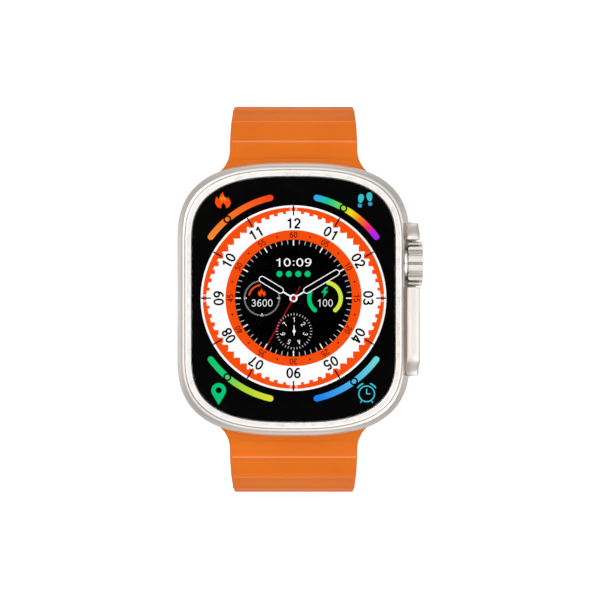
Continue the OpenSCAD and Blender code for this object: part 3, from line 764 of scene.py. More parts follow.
def corner_section(sx, sy, t):
    """The plain section at the angle t of the corner in the quadrant sx, sy."""
    def place(dx, dy):
        x, y = corner(dx, dy, t)
        return (sx * x, sy * y)
    return plain_section(place)


def side_section(y):
    """The plain section at y on the crown side."""
    if abs(y) <= SIDE_FLAT:
        return plain_section(lambda dx, dy: (HALF_W - dx, y))
    return corner_section(1, math.copysign(1, y), corner_angle(abs(y)))


def case_rings():
    """Sections all round: up the crown side with its guard, and then round the other sides."""
    sections = []
    for y, share, in_pocket, shrink in guard_stations():
        outer, inner = side_section(y)
        if in_pocket:
            outer = [(x, y, z) for x, z in pocket_profile()]
        else:
            low = GUARD_BOTTOM - 1.25 * smooth((POCKET_HALF + 1.8 - abs(y - CROWN_Y)) / 1.5) + shrink
            top = GUARD_TOP - guard_droop(y) - shrink
            guard = [(x, y, z) for x, z in guard_profile(guard_reach(y) - shrink, top, low)]
            outer = [tuple(lerp(a, b, share) for a, b in zip(p, q)) for p, q in zip(outer, guard)]
        sections.append(outer + inner)
    part = steps(corner_angle(GUARD_FADE), math.pi / 2, 34)[1:]
    whole = steps(0.0, math.pi / 2, 38)
    corners = [(1, 1, t) for t in part]
    corners += [(-1, 1, t) for t in reversed(whole[:-1])]
    corners += [(-1, -1, t) for t in whole]
    corners += [(1, -1, t) for t in reversed(part[:-1])]
    for place in corners:
        outer, inner = corner_section(*place)
        sections.append(outer + inner)
    return [[(CASE_X + x, y, LIP_Z + z) for x, y, z in section] for section in sections]


def pill_outline(length, height, grow=0.0, count=12):
    """Points round a slot's shape that lies along the first of two axes."""
    half, r = (length - height) / 2, height / 2 + grow
    right = bow(half, 0, r, r, -90, 90, count)
    return right + [(-x, -y) for x, y in right]


def pill_along_x(y, z, length, height, sections):
    """A pill-shaped cutter along X; sections are [x, growth of the outline]."""
    return skin("cutter", [
        [(CASE_X + x, y + a, z + b) for a, b in pill_outline(length, height, grow)] for x, grow in sections
    ])


def pill_along_z(x, y, length, height, sections):
    """A pill-shaped cutter along Z; sections are [z, growth of the outline]."""
    return skin("cutter", [
        [(CASE_X + x + a, y + b, z) for a, b in pill_outline(length, height, grow)] for z, grow in sections
    ])


def prism_x(section, low, high):
    """A cutter with a section in the YZ plane, between two places along X."""
    return skin("cutter", [[(CASE_X + x, y, z) for y, z in section] for x in (low, high)])


def mouth(face, floor, grow, depth):
    """Sections of a hole from outside its face to its floor, with a bevel at the face."""
    inward = math.copysign(1, floor - face)
    return [(face - 2 * inward, grow), (face, grow), (face + depth * inward, 0.0), (floor, 0.0)]


def slot_cutter(side):
    """The slot that the band's lug slides in, with its wider chamber behind the mouth."""
    chamber_low, chamber_high = BACK_Z + 1.95, BACK_Z + 7.55
    mouth_low, mouth_high = BACK_Z + 2.65, BACK_Z + 6.85
    out = HALF_L + 3
    section = [(SLOT_BACK, chamber_low), (SLOT_FRONT, chamber_low), (SLOT_FRONT, mouth_low),
               (out, mouth_low), (out, mouth_high), (SLOT_FRONT, mouth_high),
               (SLOT_FRONT, chamber_high), (SLOT_BACK, chamber_high)]
    return prism_x([(side * y, z) for y, z in section], -30, 30)


def well_cutters():
    """The wells of the buttons, the speaker's slots and the microphone's hole."""
    length, height = button_high.y - button_low.y, button_high.z - button_low.z
    wells = [pill_along_x(BUTTON_Y, CROWN_Z, length + WELL_SLACK, height + WELL_SLACK,
                          mouth(guard_reach(BUTTON_Y) + 0.04, BUTTON_FLOOR, 0.2, 0.2))]
    length, height = action_high.y - action_low.y, action_high.z - action_low.z
    wells.append(pill_along_x(0.0, CROWN_Z, length + WELL_SLACK, height + WELL_SLACK,
                              mouth(-HALF_W - 0.02, -ACTION_FLOOR, 0.18, 0.18)))
    for y in SPEAKER_Y:
        wells.append(pill_along_x(y, CROWN_Z - 0.6, 2.6, 1.0, mouth(-HALF_W, -HOLE_END, 0.12, 0.14)))
    wells.append(pill_along_x(MIC_Y, CROWN_Z, MIC_D + 0.01, MIC_D, mouth(-HALF_W, -HOLE_END, 0.1, 0.1)))
    for side in (-1, 1):
        wells.append(pill_along_z(0, side * RELEASE_Y, 6.2, 2.2, mouth(BACK_Z, BACK_Z + 2.1, 0.1, 0.1)))
    return wells


def bore_cutters():
    """Bores for the crown's tube and the buttons' pins, and pockets for the release buttons' flanges."""
    bores = []
    for y, low, high, r in (
        (CROWN_Y, WALL_INSIDE, POCKET_X + 0.4, TUBE_R),
        (BUTTON_Y, WALL_INSIDE, BUTTON_FLOOR + 0.2, PIN_BORE_R),
        (0.0, -ACTION_FLOOR - 0.3, -WALL_INSIDE, PIN_BORE_R),
    ):
        bores.append(prism_x(round_about(y, CROWN_Z, r, 33), low, high))
    flange = [(BACK_Z + 0.9, 0.0), (BACK_Z + 2.05, 0.0)]
    return bores + [pill_along_z(0, side * RELEASE_Y, 7.2, 2.8, flange) for side in (-1, 1)]


def case_shell():
    """The titanium case with its guard, seats, slots, wells and bores."""
    shell = skin("case_shell", case_rings(), "titanium", 32, closed_rings=True)
    slots = joined([slot_cutter(1), slot_cutter(-1)])
    cut(shell, slots, joined(well_cutters()), joined(bore_cutters()))
    tidy_mesh(shell, 32, 2e-6)
    stand_for(shell, "case_body")


def bezel_lip():
    """The bright lip: flat on top, with a small round outside and a finer one inside."""
    outer, inner, foot = LIP_INSET + 0.06, LIP_INSET + LIP_W, -0.95
    section = [(outer, foot)] + bow(outer + 0.26, -0.26, 0.26, 0.26, 180, 90, 6)
    section += [(outer + 0.3, 0.0), (inner - 0.14, 0.0)]
    section += bow(inner - 0.1, -0.1, 0.1, 0.1, 90, 0, 4) + [(inner, foot)]
    rings = [ring_at(inset, LIP_Z + dz) for inset, dz in section]
    stand_for(skin("bezel_lip", rings, "polished_titanium", closed_rings=True), "front_bezel")


def crystal():
    """Flat clear cover with a polished bevel; its underside leaves room for the lit dial."""
    top, bevel = glass_high.z, 0.12
    section = [(GLASS_INSET, CRYSTAL_LOW)]
    section += bow(GLASS_INSET + bevel, top - bevel, bevel, bevel, 180, 90, 5)
    section += [(GLASS_INSET + bevel + 0.04, top)]
    stand_for(skin("crystal", [ring_at(inset, z) for inset, z in section], "crystal", 50), "cover_crystal")


def back_ring(inset, z):
    """The back cover's outline, drawn in."""
    return [(CASE_X + x, y, z) for x, y in outline(3.4 + inset, 4.72 + inset)]


def window_ring(r, z):
    """A round ring with a point opposite each point of the back cover's outline."""
    spots = [Vector((x - CASE_X, y)).normalized() * r for x, y, _ in back_ring(0.0, 0.0)]
    return [(CASE_X + spot.x, spot.y, z) for spot in spots]


def back_cover():
    """The dark back: a shallow pan with a rounded rim, round the sensor ring and the screws."""
    low, high = plate_low.z, plate_high.z
    rim, hole = 0.25, 14.55
    rings = [back_ring(inset, z) for inset, z in bow(rim, low + rim, rim, rim, 270, 180, 5)]
    rings.append(back_ring(0.0, high))
    rings += [window_ring(r, z) for r, z in ((hole, high), (hole, low + 0.1), (hole + 0.1, low))]
    item = skin("back_cover", rings, "back", closed_rings=True)
    wells, holes = [], []
    for x in (-SCREW_X, SCREW_X):
        for y in (-SCREW_Y, SCREW_Y):
            wells.append(pill_along_z(x, y, SCREW_HEAD + 0.01, SCREW_HEAD, mouth(low, low + 0.6, 0.1, 0.1)))
            shank = [(low + 0.3, 0.0), (high + 1, 0.0)]
            holes.append(pill_along_z(x, y, SCREW_SHANK + 0.01, SCREW_SHANK, shank))
    cut(item, joined(wells), joined(holes))
    tidy_mesh(item, 32, 2e-6)
    stand_for(item, "back_plate")


# ---- crown and buttons
def crown():
    """A knurled crown: fifteen narrow round-topped ridges between wide shallow valleys."""
    x0, x1 = knob_low.x, knob_high.x
    bevel = 0.3

    def radius(i, limit):
        share = abs((i + TOOTH_STEPS // 2) % TOOTH_STEPS / TOOTH_STEPS - 0.5) * 2
        return min(limit, lerp(CROWN_R - TOOTH_H, CROWN_R, math.exp(-(share / TOOTH_WIDTH) ** 2)))

    ridged = [(x0, CROWN_R - 0.62)] + bow(x0 + bevel, CROWN_R - bevel, bevel, bevel, 180, 90, 5)
    ridged += [(x, CROWN_R) for x in steps(x0 + 0.5, x1 - 0.55, 5)]
    ridged += bow(x1 - bevel, CROWN_R - bevel, bevel, bevel, 90, 0, 5)[1:]
    sections = [(x0 + 0.6, 1.1, False), (x0 + 0.6, CAP_R + 0.1, False), (x0, CAP_R + 0.1, False)]
    sections += [(x, r, True) for x, r in ridged]
    sections += [(x1, CROWN_R - 0.72, False), (x1 - 0.02, CAP_R + 0.06, False), (x1 - 0.08, CAP_R, False),
                 (x1 - 0.4, CAP_R, False), (x1 - 0.4, 0.3, False)]
    rings = []
    for x, limit, has_teeth in sections:
        loop = []
        for i, (a, b) in enumerate(round_about(0, 0, 1, CROWN_TEETH * TOOTH_STEPS, 90)):
            r = radius(i, limit) if has_teeth else limit
            loop.append((x, CROWN_Y + r * a, CROWN_Z + r * b))
        rings.append(loop)
    # turned_titanium is darker than the case's titanium: its lower tone is painted shade on the crown
    stand_for(skin("crown", rings, "turned_titanium", 40), "crown_knob")


def crown_face():
    """The crown's end disc, very slightly domed, with a turned groove."""
    x1 = knob_high.x
    edge = [(x1 - 0.39, CAP_R - 0.07), (x1 - 0.08, CAP_R - 0.07), (x1 - 0.02, CAP_R - 0.13)]
    groove = [(x1 - 0.01, 2.5), (x1 - 0.06, 2.44), (x1 - 0.06, 2.3), (x1 - 0.005, 2.24)]
    section = edge + groove + [(x1, 1.2), (x1, 0.3)]
    rings = [[(x, a, b) for a, b in round_about(CROWN_Y, CROWN_Z, r, 72)] for x, r in section]
    # turned_titanium is darker than the case's titanium: its lower tone is painted shade on the crown's end
    stand_for(skin("crown_face", rings, "turned_titanium", 40), "crown_cap")


def button(name, node, y, side, outer, inner):
    """A push button: a soft-edged pill with the pin that presses its switch."""
    low, high = box_mm(node)
    sections = bow(outer - BUTTON_SOFT, -BUTTON_SOFT, BUTTON_SOFT, BUTTON_SOFT, 0, 90, 5) + [(inner, 0.0)]
    outlines = [(x, pill_outline(high.y - low.y, high.z - low.z, grow)) for x, grow in sections]
    pin_outline = round_about(0, 0, PIN_R, len(outlines[0][1]), -90)
    outlines += [(inner, pin_outline), (PIN_END, pin_outline)]
    rings = [[(CASE_X + side * x, y + a, CROWN_Z + b) for a, b in points] for x, points in outlines]
    stand_for(skin(name, rings, "titanium", 40), node)


def buttons():
    """The side button on the crown side and the action button on the other."""
    button("side_button_cap", "side_button", BUTTON_Y, 1, button_high.x - CASE_X, BUTTON_FLOOR + 0.6)
    button("action_button_cap", "action_button", 0.0, -1, CASE_X - action_low.x, ACTION_FLOOR + 0.45)


# ---- strap
def walk(y, z, angle, legs):
    """Points [y, z, angle, length so far] along straight and round legs, each given as (length, turn)."""
    points, done = [(y, z, angle, 0.0)], 0.0
    for length, turn in legs:
        count = max(1, round(length / STRAP_STEP))
        step, bend = length / count, turn / count
        for _ in range(count):
            middle = angle + bend / 2
            chord = step if bend == 0 else 2 * (step / bend) * math.sin(bend / 2)
            y += chord * math.cos(middle)
            z += chord * math.sin(middle)
            angle += bend
            done += step
            points.append((y, z, angle, done))
    return points


UPPER_TURN = math.pi / 2 - LEAVE
SIDE_LEGS = [(NECK_LENGTH, 0.0), (UPPER_R * UPPER_TURN, -UPPER_TURN), (UPPER_Z - LOWER_Z, 0.0),
             (LOWER_R * math.pi / 2, -math.pi / 2)]
SHORT_LEGS = SIDE_LEGS + [(FLAT_HALF - STRAP_END, 0.0)]
LONG_LEGS = SIDE_LEGS + [
    (FLAT_HALF - BEND_FROM, 0.0), (BEND_R * BEND_TURN, BEND_TURN), (BEND_R * BEND_TURN, -BEND_TURN),
    (FLAT_HALF + BEND_FROM - BEND_L, 0.0), (TAIL_R * TAIL_TURN, -TAIL_TURN),
]


def from_crest(length):
    """The distance from the nearest crest, as a share of the pitch."""
    return abs(((length - FIRST_RIB) / RIB_PITCH + 0.5) % 1.0 - 0.5)


def rib_drop(length, ribbed_to):
    """How far the outer face lies below the crests at a distance along the strap."""
    wave = 1 - math.exp(-(2 * from_crest(length) / RIB_WIDTH) ** 2)
    fade = smooth((length - 0.6) / 2.2) * smooth((ribbed_to - length) / 3.0)
    return RIB_DEPTH * wave * fade


def strap_half_width(y, length):
    """Half width: flared at the case, with a concave fillet down to the band."""
    if length > 8 or y > FLARE_Y:
        return STRAP_HALF - 0.4 * smooth((length - 5) / 14)
    centre = STRAP_HALF + FLARE_R
    return min(centre - math.sqrt(max(FLARE_R ** 2 - (FLARE_Y - y) ** 2, 0.0)), FLARE_HALF)


def band_section(half, low, high):
    """A closed section across the strap: x and the offset from the middle line, with round edges."""
    edge = min(EDGE_ROUND, (high - low) / 2 - 0.01)
    x, top, foot = half - edge, high - edge, low + edge
    points = [(a, high) for a in steps(-x, x, TOP_STEPS)]
    points += bow(x, top, edge, edge, 90, 0, 5)[1:]
    points += bow(x, foot, edge, edge, 0, -90, 5)
    points += [(a, low) for a in steps(x, -x, TOP_STEPS)[1:]]
    points += bow(-x, foot, edge, edge, -90, -180, 5)[1:]
    points += bow(-x, top, edge, edge, 180, 90, 5)[:-1]
    return points


def case_end(x):
    """How far the case's end reaches at x from its centre line."""
    share = min(abs(x) / HALF_W, 1.0)
    return SIDE_FLAT + (HALF_L - SIDE_FLAT) * (1 - share ** CORNER_POWER) ** (1 / CORNER_POWER)


def paint_crest_highlights(item, line, ribbed_to, count):
    """Gives the outer faces along each rib's crest a paler material: a painted highlight along each crest."""
    item.data.materials.append(LOOKS["strap_crest_highlight"])
    for face in item.data.polygons:
        rows = sorted({index // count for index in face.vertices})
        across = max(index % count for index in face.vertices)
        if len(face.vertices) != 4 or across > TOP_STEPS + 2 or len(rows) != 2:
            continue
        middle = (line[rows[0]][3] + line[rows[1]][3]) / 2
        if from_crest(middle) * RIB_PITCH < CREST_HIGHLIGHT_HALF and 3.0 < middle < ribbed_to - 2:
            face.material_index = 1


def short_of_round(r, left):
    """How far a round of radius r lies inside its tangent, at a distance from the round's end."""
    return r - math.sqrt(max(r ** 2 - (r - left) ** 2, 0.0)) if left < r else 0.0


def strap(name, legs, side, ribbed_to, round_tip):
    """A ribbed strap along the loop's middle line; side is 1 at 12 o'clock and -1 at 6 o'clock."""
    line = walk(STRAP_START, START_Z, -LEAVE, legs)
    total = line[-1][3]
    rings = []
    for y, z, angle, length in line:
        near = 1 - smooth(length / MERGE_LENGTH)
        half = STRAP_HALF
        for _ in range(6):
            shift = near * (case_end(half) + END_GAP - STRAP_START)
            half = strap_half_width(y + shift, length)
        left = total - length
        if round_tip:
            half -= short_of_round(TIP_R, left)
        shrink = short_of_round(END_R, left)
        top = STRAP_T / 2 - rib_drop(length, ribbed_to) - shrink
        loop = []
        for x, off in band_section(half - shrink, shrink - STRAP_T / 2, top):
            to_case = near * (case_end(x) + END_GAP - STRAP_START + off * math.sin(angle))
            along = y - off * math.sin(angle) + to_case
            loop.append((CASE_X + x, side * along, z + off * math.cos(angle)))
        rings.append(loop)
    item = skin(name, rings, "strap", 60)
    # Paints a highlight along the rib crests
    paint_crest_highlights(item, line, ribbed_to, len(rings[0]))
    return item


def prong_hole(x, y):
    """A hole in the tail, wider on the inner side."""
    top = TAIL_Z + STRAP_T / 2 + 0.55
    return skin("cutter", [
        [(CASE_X + x + b, y + a, z) for a, b in pill_outline(2.6, 2.0, grow, 8)]
        for z, grow in ((-1.3, 0.28), (0.95, 0.28), (1.25, 0.0), (top, 0.0))
    ])


def slanted_slot(x):
    """The slot that a prong passes through, along the prong's own slope."""
    start, end = Vector((-0.9, 5.2)), Vector((-8.6, 0.95))
    along = (end - start).normalized()
    across = Vector((-along.y, along.x)) * 0.85
    first, last = start - along * 0.5, end + along * 3.5
    return prism_x([first + across, first - across, last - across, last + across], x - 1, x + 1)


def straps():
    """The two straps: one with the bar's eye and the tongue's recess, one with the prongs' holes."""
    short = strap("strap_12", SHORT_LEGS, 1, SHORT_RIBBED, False)
    recess = prism_x([(-5, 0), (RECESS_Y, 0), (RECESS_Y, 9), (-5, 9)], -RECESS_HALF, RECESS_HALF)
    eye = prism_x(round_about(EYE_Y, BAR_Z, EYE_R, 24), -STRAP_HALF - 2.5, STRAP_HALF + 2.5)
    cut(short, recess, eye)
    tidy_mesh(short, 50, 2e-6)
    stand_for(short, "strap_short")
    long = strap("strap_6", LONG_LEGS, -1, LONG_RIBBED, True)
    slots = [slanted_slot(x) for x in (-PRONG_X, PRONG_X)]
    holes = [prong_hole(x, FIRST_HOLE + HOLE_PITCH * k) for x in (-PRONG_X, PRONG_X) for k in range(4)]
    cut(long, joined(slots), joined(holes))
    tidy_mesh(long, 50, 2e-6)
    stand_for(long, "strap_long")


# ---- lit dial
INKS = {}


def level(k):
    """Bottom and top of the k-th thin layer of the picture."""
    low = DIAL_BASE + 0.002 + k * LAYER
    return low, low + LAYER * 0.7


def flat(colour, points, k):
    """A thin closed plate from an outline in the dial's plane, about the dial's centre."""
    low, high = level(k)
    count = len(points)
    bottom = [(CASE_X + x, DIAL_Y + y, low) for x, y in points]
    top = [(x, y, high) for x, y, _ in bottom]
    faces = [tuple(reversed(range(count))), tuple(range(count, 2 * count))]
    faces += [(i, (i + 1) % count, count + (i + 1) % count, count + i) for i in range(count)]
    INKS.setdefault(colour, []).append((bottom + top, faces))


def band(colour, inner, outer, k):
    """A flat closed band between two outlines with the same number of points."""
    low, high = level(k)
    points = []
    for edge, z in ((inner, low), (outer, low), (outer, high), (inner, high)):
        points += [(CASE_X + x, DIAL_Y + y, z) for x, y in edge]
    INKS.setdefault(colour, []).append((points, ring_faces(4, len(inner), closed_rings=True)))


def polar(r, turn):
    """A point at radius r and clock angle in degrees."""
    a = math.radians(turn)
    return (r * math.sin(a), r * math.cos(a))


def around(centre, points):
    """The points, moved so that the origin comes to the centre."""
    return [(centre[0] + x, centre[1] + y) for x, y in points]


def turned(points, turn):
    """The points turned clockwise about the origin."""
    a = math.radians(turn)
    return [(x * math.cos(a) + y * math.sin(a), -x * math.sin(a) + y * math.cos(a)) for x, y in points]


def sweep(centre, r, start, end, count):
    """Points of a round arc between two clock angles."""
    return around(centre, [polar(r, t) for t in steps(start, end, count)])


def ring(colour, r0, r1, k, centre=(0, 0), count=120):
    """A flat ring between two radii."""
    band(colour, sweep(centre, r0, 0, 360, count)[:-1], sweep(centre, r1, 0, 360, count)[:-1], k)


def disc(colour, r, k, centre=(0, 0), count=32):
    flat(colour, sweep(centre, r, 360, 0, count)[1:], k)


def arc(colour, r, thick, start, end, k, centre=(0, 0)):
    """A round-ended arc between two clock angles."""
    half = thick / 2
    count = max(6, round(abs(end - start) / 3))
    points = sweep((0, 0), r + half, start, end, count)
    points += sweep(polar(r, end), half, end, end + 180, 8)[1:-1]
    points += sweep((0, 0), r - half, end, start, count)
    points += sweep(polar(r, start), half, start + 180, start + 360, 8)[1:-1]
    flat(colour, around(centre, points)[::-1], k)


def tick(colour, r0, r1, wide, turn, k, centre=(0, 0)):
    """A straight mark along a radius."""
    half = wide / 2
    flat(colour, around(centre, turned([(-half, r0), (half, r0), (half, r1), (-half, r1)], turn)), k)


def blade(r0, r1, half, turn):
    """The outline of a hand's blade with round ends."""
    return turned(sweep((0, r1), half, -90, 90, 10) + sweep((0, r0), half, 90, 270, 10), turn)


# Centre lines of the figures, one unit high
FIGURES = {
    "0": [bow(0.3, 0.5, 0.235, 0.44, 0, 360)],
    "1": [[(0.36, 0.0), (0.36, 1.0)], [(0.38, 0.93), (0.27, 0.81), (0.1, 0.74)]],
    "2": [bow(0.3, 0.69, 0.22, 0.25, 175, -35) + [(0.07, 0.06)], [(0.035, 0.06), (0.56, 0.06)]],
    "3": [bow(0.28, 0.72, 0.2, 0.22, 160, -90) + [(0.22, 0.5)], bow(0.28, 0.28, 0.23, 0.23, 90, -165)],
    "4": [[(0.43, 0.0), (0.43, 1.0)], [(0.43, 0.95), (0.05, 0.27)], [(0.01, 0.27), (0.59, 0.27)]],
    "5": [[(0.52, 0.94), (0.13, 0.94)], [(0.15, 0.97), (0.09, 0.5)], bow(0.29, 0.33, 0.23, 0.27, 140, -155)],
    "6": [bow(0.3, 0.31, 0.22, 0.25, 0, 360),
          bow(0.42, 0.35, 0.34, 0.59, 185, 110) + [(0.42, 0.94), (0.5, 0.86)]],
    "7": [[(0.03, 0.94), (0.57, 0.94)], [(0.54, 0.93), (0.36, 0.6), (0.22, 0.0)]],
    "8": [bow(0.3, 0.73, 0.19, 0.21, 0, 360), bow(0.3, 0.28, 0.225, 0.235, 0, 360)],
    "9": [bow(0.3, 0.69, 0.22, 0.25, 0, 360),
          bow(0.18, 0.65, 0.34, 0.59, 5, -70) + [(0.18, 0.06), (0.1, 0.14)]],
    ":": [[(0.15, 0.12), (0.15, 0.24)], [(0.15, 0.6), (0.15, 0.72)]],
}
FIGURE_ADVANCE = 0.7
ADVANCE = {":": 0.36}


def ribbon(points, wide):
    """An outline of even width round an open line."""
    left, right = [], []
    for i, (x, y) in enumerate(points):
        before, after = points[max(i - 1, 0)], points[min(i + 1, len(points) - 1)]
        dx, dy = after[0] - before[0], after[1] - before[1]
        share = wide / 2 / math.hypot(dx, dy)
        left.append((x - dy * share, y + dx * share))
        right.append((x + dy * share, y - dx * share))
    return left + right[::-1]


def swollen(loop, grow):
    """A round loop grown by a distance on every side."""
    middle = [sum(p[i] for p in loop) / len(loop) for i in (0, 1)]
    reach = [max(abs(p[i] - middle[i]) for p in loop) for i in (0, 1)]
    return [tuple(middle[i] + (p[i] - middle[i]) * (1 + grow / reach[i]) for i in (0, 1)) for p in loop]


def figures(colour, text, height, centre, turn, k, wide=1.0, weight=0.115):
    """Numerals centred on a point and turned clockwise by the clock angle."""
    start = (0.1 - sum(ADVANCE.get(letter, FIGURE_ADVANCE) for letter in text)) / 2

    def place(points):
        upright = [((x + start) * height * wide, (y - 0.5) * height) for x, y in points]
        return around(centre, turned(upright, turn))

    for letter in text:
        for stroke in FIGURES[letter]:
            if math.dist(stroke[0], stroke[-1]) < 1e-6:
                loop = stroke[:-1]
                band(colour, place(swollen(loop, -weight / 2)), place(swollen(loop, weight / 2)), k)
            else:
                flat(colour, place(ribbon(stroke, weight)), k)
        start += ADVANCE.get(letter, FIGURE_ADVANCE)


def held_in(point, limit):
    """The point, drawn in to a circle about the dial's centre if it lies beyond it."""
    share = min(1.0, limit / math.hypot(*point))
    return (point[0] * share, point[1] * share)


def slant(turn):
    """0 at the four main hours and 1 halfway between them."""
    return abs(math.sin(math.radians(2 * turn)))


def chapter_ring():
    """White ring, stepped orange ring, hour marks and the hours."""
    ring("white", CHAPTER_IN, CHAPTER_OUT, 0)
    turns = steps(360, 0, 180)[1:]
    outer = [polar(16.12, turn) for turn in turns]
    inner = [polar(15.52 - 0.5 * slant(turn), turn) for turn in turns]
    band("orange", inner, outer, 1)
    for minute in range(60):
        if minute % 15:
            x, y = polar(15.37 - 0.42 * slant(minute * 6), minute * 6)
            half = 0.21 + 0.33 * slant(minute * 6)
            square = [(x - half, y - half), (x + half, y - half), (x + half, y + half), (x - half, y + half)]
            flat("orange", [held_in(point, 16.1) for point in square], 1)
    for hour in range(12):
        tick("black", 14.7, CHAPTER_OUT - 0.05, 0.25, hour * 30, 2)
        if hour % 3 == 0:
            for turn in (-2.2, -1.5, 1.5, 2.2):
                tick("white", 15.55, 16.08, 0.07, hour * 30 + turn, 2)
        turn = 0 if hour == 6 else hour * 30
        figures("black", f"{hour or 12:02d}", 1.8, polar(13.3, hour * 30), turn, 2, 1.06, 0.18)


def inner_ring():
    """Orange ring with small minute figures and dots, and the white minute marks inside it."""
    ring("orange", MINUTES_IN, CHAPTER_IN, 1)
    middle = (MINUTES_IN + CHAPTER_IN) / 2
    for i in range(12):
        figures("maroon", f"{i * 5 or 60:02d}", 1.04, polar(middle, i * 30), i * 30, 2, 1.0, 0.15)
        disc("maroon", 0.17, 2, polar(middle, i * 30 + 15), 12)
    for minute in range(60):
        if minute % 5:
            tick("silver", 9.62, MINUTES_IN - 0.07, 0.13, minute * 6, 1)
        else:
            tick("white", 9.35, MINUTES_IN - 0.07, 0.2, minute * 6, 1)


def hands():
    """Hour and minute hands with hollow white edges, and the seconds hand."""
    half, foot = 0.6, 2.7
    for turn, tip in ((301, 7.1), (59.3, 9.46)):
        outside, inside = blade(foot, tip - half, half, turn), blade(foot, tip - half, half - 0.15, turn)
        flat("black", outside[::-1], 2)
        band("white", inside, outside, 3)
        tick("white", 0.5, 2.15, 0.26, turn, 3)
    disc("white", 0.72, 3)
    tick("red", 0.0, 10.4, 0.16, 209.2, 4)
    tick("red", 0.0, 2.4, 0.13, 29.3, 4)
    disc("crimson", 0.42, 4)


def left_counter():
    """A ring of ticks with an arc, a reading and a flame."""
    centre = (-COUNTER_X, 0.0)
    for i in range(72):
        inside, wide = (2.95, 0.09) if i % 18 else (2.7, 0.26)
        tick("silver", inside, COUNTER_R, wide, i * 5, 1, centre)
    arc("orange", 2.35, 0.3, 285, 350, 1, centre)
    figures("white", "3600", 1.32, (-COUNTER_X, -0.85), 0, 1, 1.06, 0.09)
    flame("orange", (-COUNTER_X, 1.0), 0.72, 1)


def right_counter():
    """Two thick arcs with a reading and a bolt."""
    centre = (COUNTER_X, 0.0)
    arc("lime", 2.8, 0.75, 12, 140, 1, centre)
    arc("green", 2.8, 0.75, 220, 290, 1, centre)
    figures("white", "100", 1.32, (COUNTER_X, -0.85), 0, 1, 1.06, 0.09)
    bolt = [(0.15, 0.95), (-0.62, -0.1), (-0.1, -0.1), (-0.3, -0.95), (0.6, 0.22), (0.08, 0.22), (0.6, 0.95)]
    flat("green", around((5.55, 1.05), bolt), 1)


def bottom_counter():
    """A ring of ticks, the figures 1 to 7 and a compass needle."""
    centre = (0.1, -5.9)
    for i in range(36):
        tick("silver", 2.85, COUNTER_R, 0.12, i * 10, 1, centre)
    for i in range(7):
        turn = i * 360 / 7
        figures("white", str(i + 1), 0.86, around(centre, [polar(2.07, turn)])[0], turn, 1)
    right = [(0.07, 1.1), (0.09, 0.35), (0.3, 0.0), (0.09, -0.35), (0.05, -0.75)]
    needle = right + [(-x, y) for x, y in reversed(right)]
    flat("white", around(centre, needle)[::-1], 1)


def flame(colour, centre, size, k):
    """A generic three-tongued flame with a notch at its foot."""
    left = [(-0.25, -1.0), (-0.7, -0.85), (-1.0, -0.35), (-0.95, 0.15), (-0.75, 0.5), (-0.62, 0.12),
            (-0.45, 0.35), (-0.3, 0.75), (0.0, 1.0)]
    right = [(0.06, 0.6), (0.28, 0.32), (0.45, 0.1), (0.55, 0.42), (0.8, 0.1), (0.95, -0.3), (0.75, -0.8)]
    foot = [(0.35, -1.0), (0.3, -0.62), (0.0, -0.3), (-0.22, -0.6)]
    flat(colour, around(centre, [(x * size, y * size) for x, y in left + right + foot])[::-1], k)


def footprint(centre, size, lean):
    """One sole and heel."""
    def put(points):
        return around(centre, turned([(size * x, size * y) for x, y in points], lean))

    sole = [((0.43 + 0.08 * math.cos(t)) * math.sin(t), 0.42 + 0.68 * math.cos(t))
            for t in steps(0, 2 * math.pi, 24)[:-1]]
    heel = [(-0.31, -0.38), (0.31, -0.38), (0.29, -0.78), (0.18, -0.9), (-0.18, -0.9), (-0.29, -0.78)]
    flat("teal", put(sole)[::-1], 1)
    flat("cyan", put(heel), 1)


def pin(centre, size):
    """A round-headed map pin with a hole."""
    outer = sweep(centre, size, -125, 125, 30) + around(centre, [(0.0, -size * 1.95)])
    hole = sweep(centre, size * 0.42, -125, 125, 30) + around(centre, [(0.0, -size * 0.42)])
    band("green", hole, outer, 1)


def alarm_clock(centre, r):
    """A round clock with two hands, two bells and two feet."""
    ring("aqua", r - 0.22, r, 1, centre, 48)
    tick("aqua", 0, r * 0.6, 0.2, 0, 1, centre)
    tick("aqua", -0.1, r * 0.45, 0.2, 90, 1, centre)
    for side in (-1, 1):
        arc("aqua", r * 1.28, 0.26, side * 38 - 17, side * 38 + 17, 1, centre)
        tick("aqua", r * 1.02, r * 1.3, 0.2, 180 + side * 35, 1, centre)


# Each gauge in a corner: where its arc starts and ends, its ring mark, and its colours by clock angle
GAUGES = {
    "arc_heat": (306.5, 347, 320, [(306, (250, 140, 50)), (322, (252, 118, 40)), (347, (250, 70, 20))]),
    "arc_steps": (13, 53.5, 29, [
        (12, (50, 170, 240)), (20, (20, 205, 150)), (28, (120, 220, 60)), (34, (245, 225, 30)),
        (40, (250, 120, 30)), (46, (250, 40, 90)), (52, (170, 40, 240))]),
    "arc_place": (193, 233.5, 220, [
        (193, (225, 225, 50)), (212, (160, 220, 60)), (222, (30, 205, 120)), (233, (20, 200, 110))]),
    "arc_time": (126.5, 167, 144, [(127, (110, 220, 215)), (145, (80, 180, 240)), (167, (20, 130, 245))]),
}


def corner_gauges():
    """The four coloured arcs, each with a ring mark on it, and their signs."""
    for name, (start, end, mark, _) in GAUGES.items():
        arc(name, GAUGE_R, 1.1, start, end, 1)
        ring("black", 0.42, 0.72, 2, polar(GAUGE_R, mark), 32)
    flame("orange", (-12.5, 17.4), 1.45, 1)
    flame("amber", (-12.45, 17.75), 0.6, 2)
    footprint((11.9, 17.2), 1.2, 8)
    footprint((13.55, 17.5), 1.2, -6)
    pin((-13.3, -16.4), 1.32)
    alarm_clock((13.0, -17.0), 1.5)


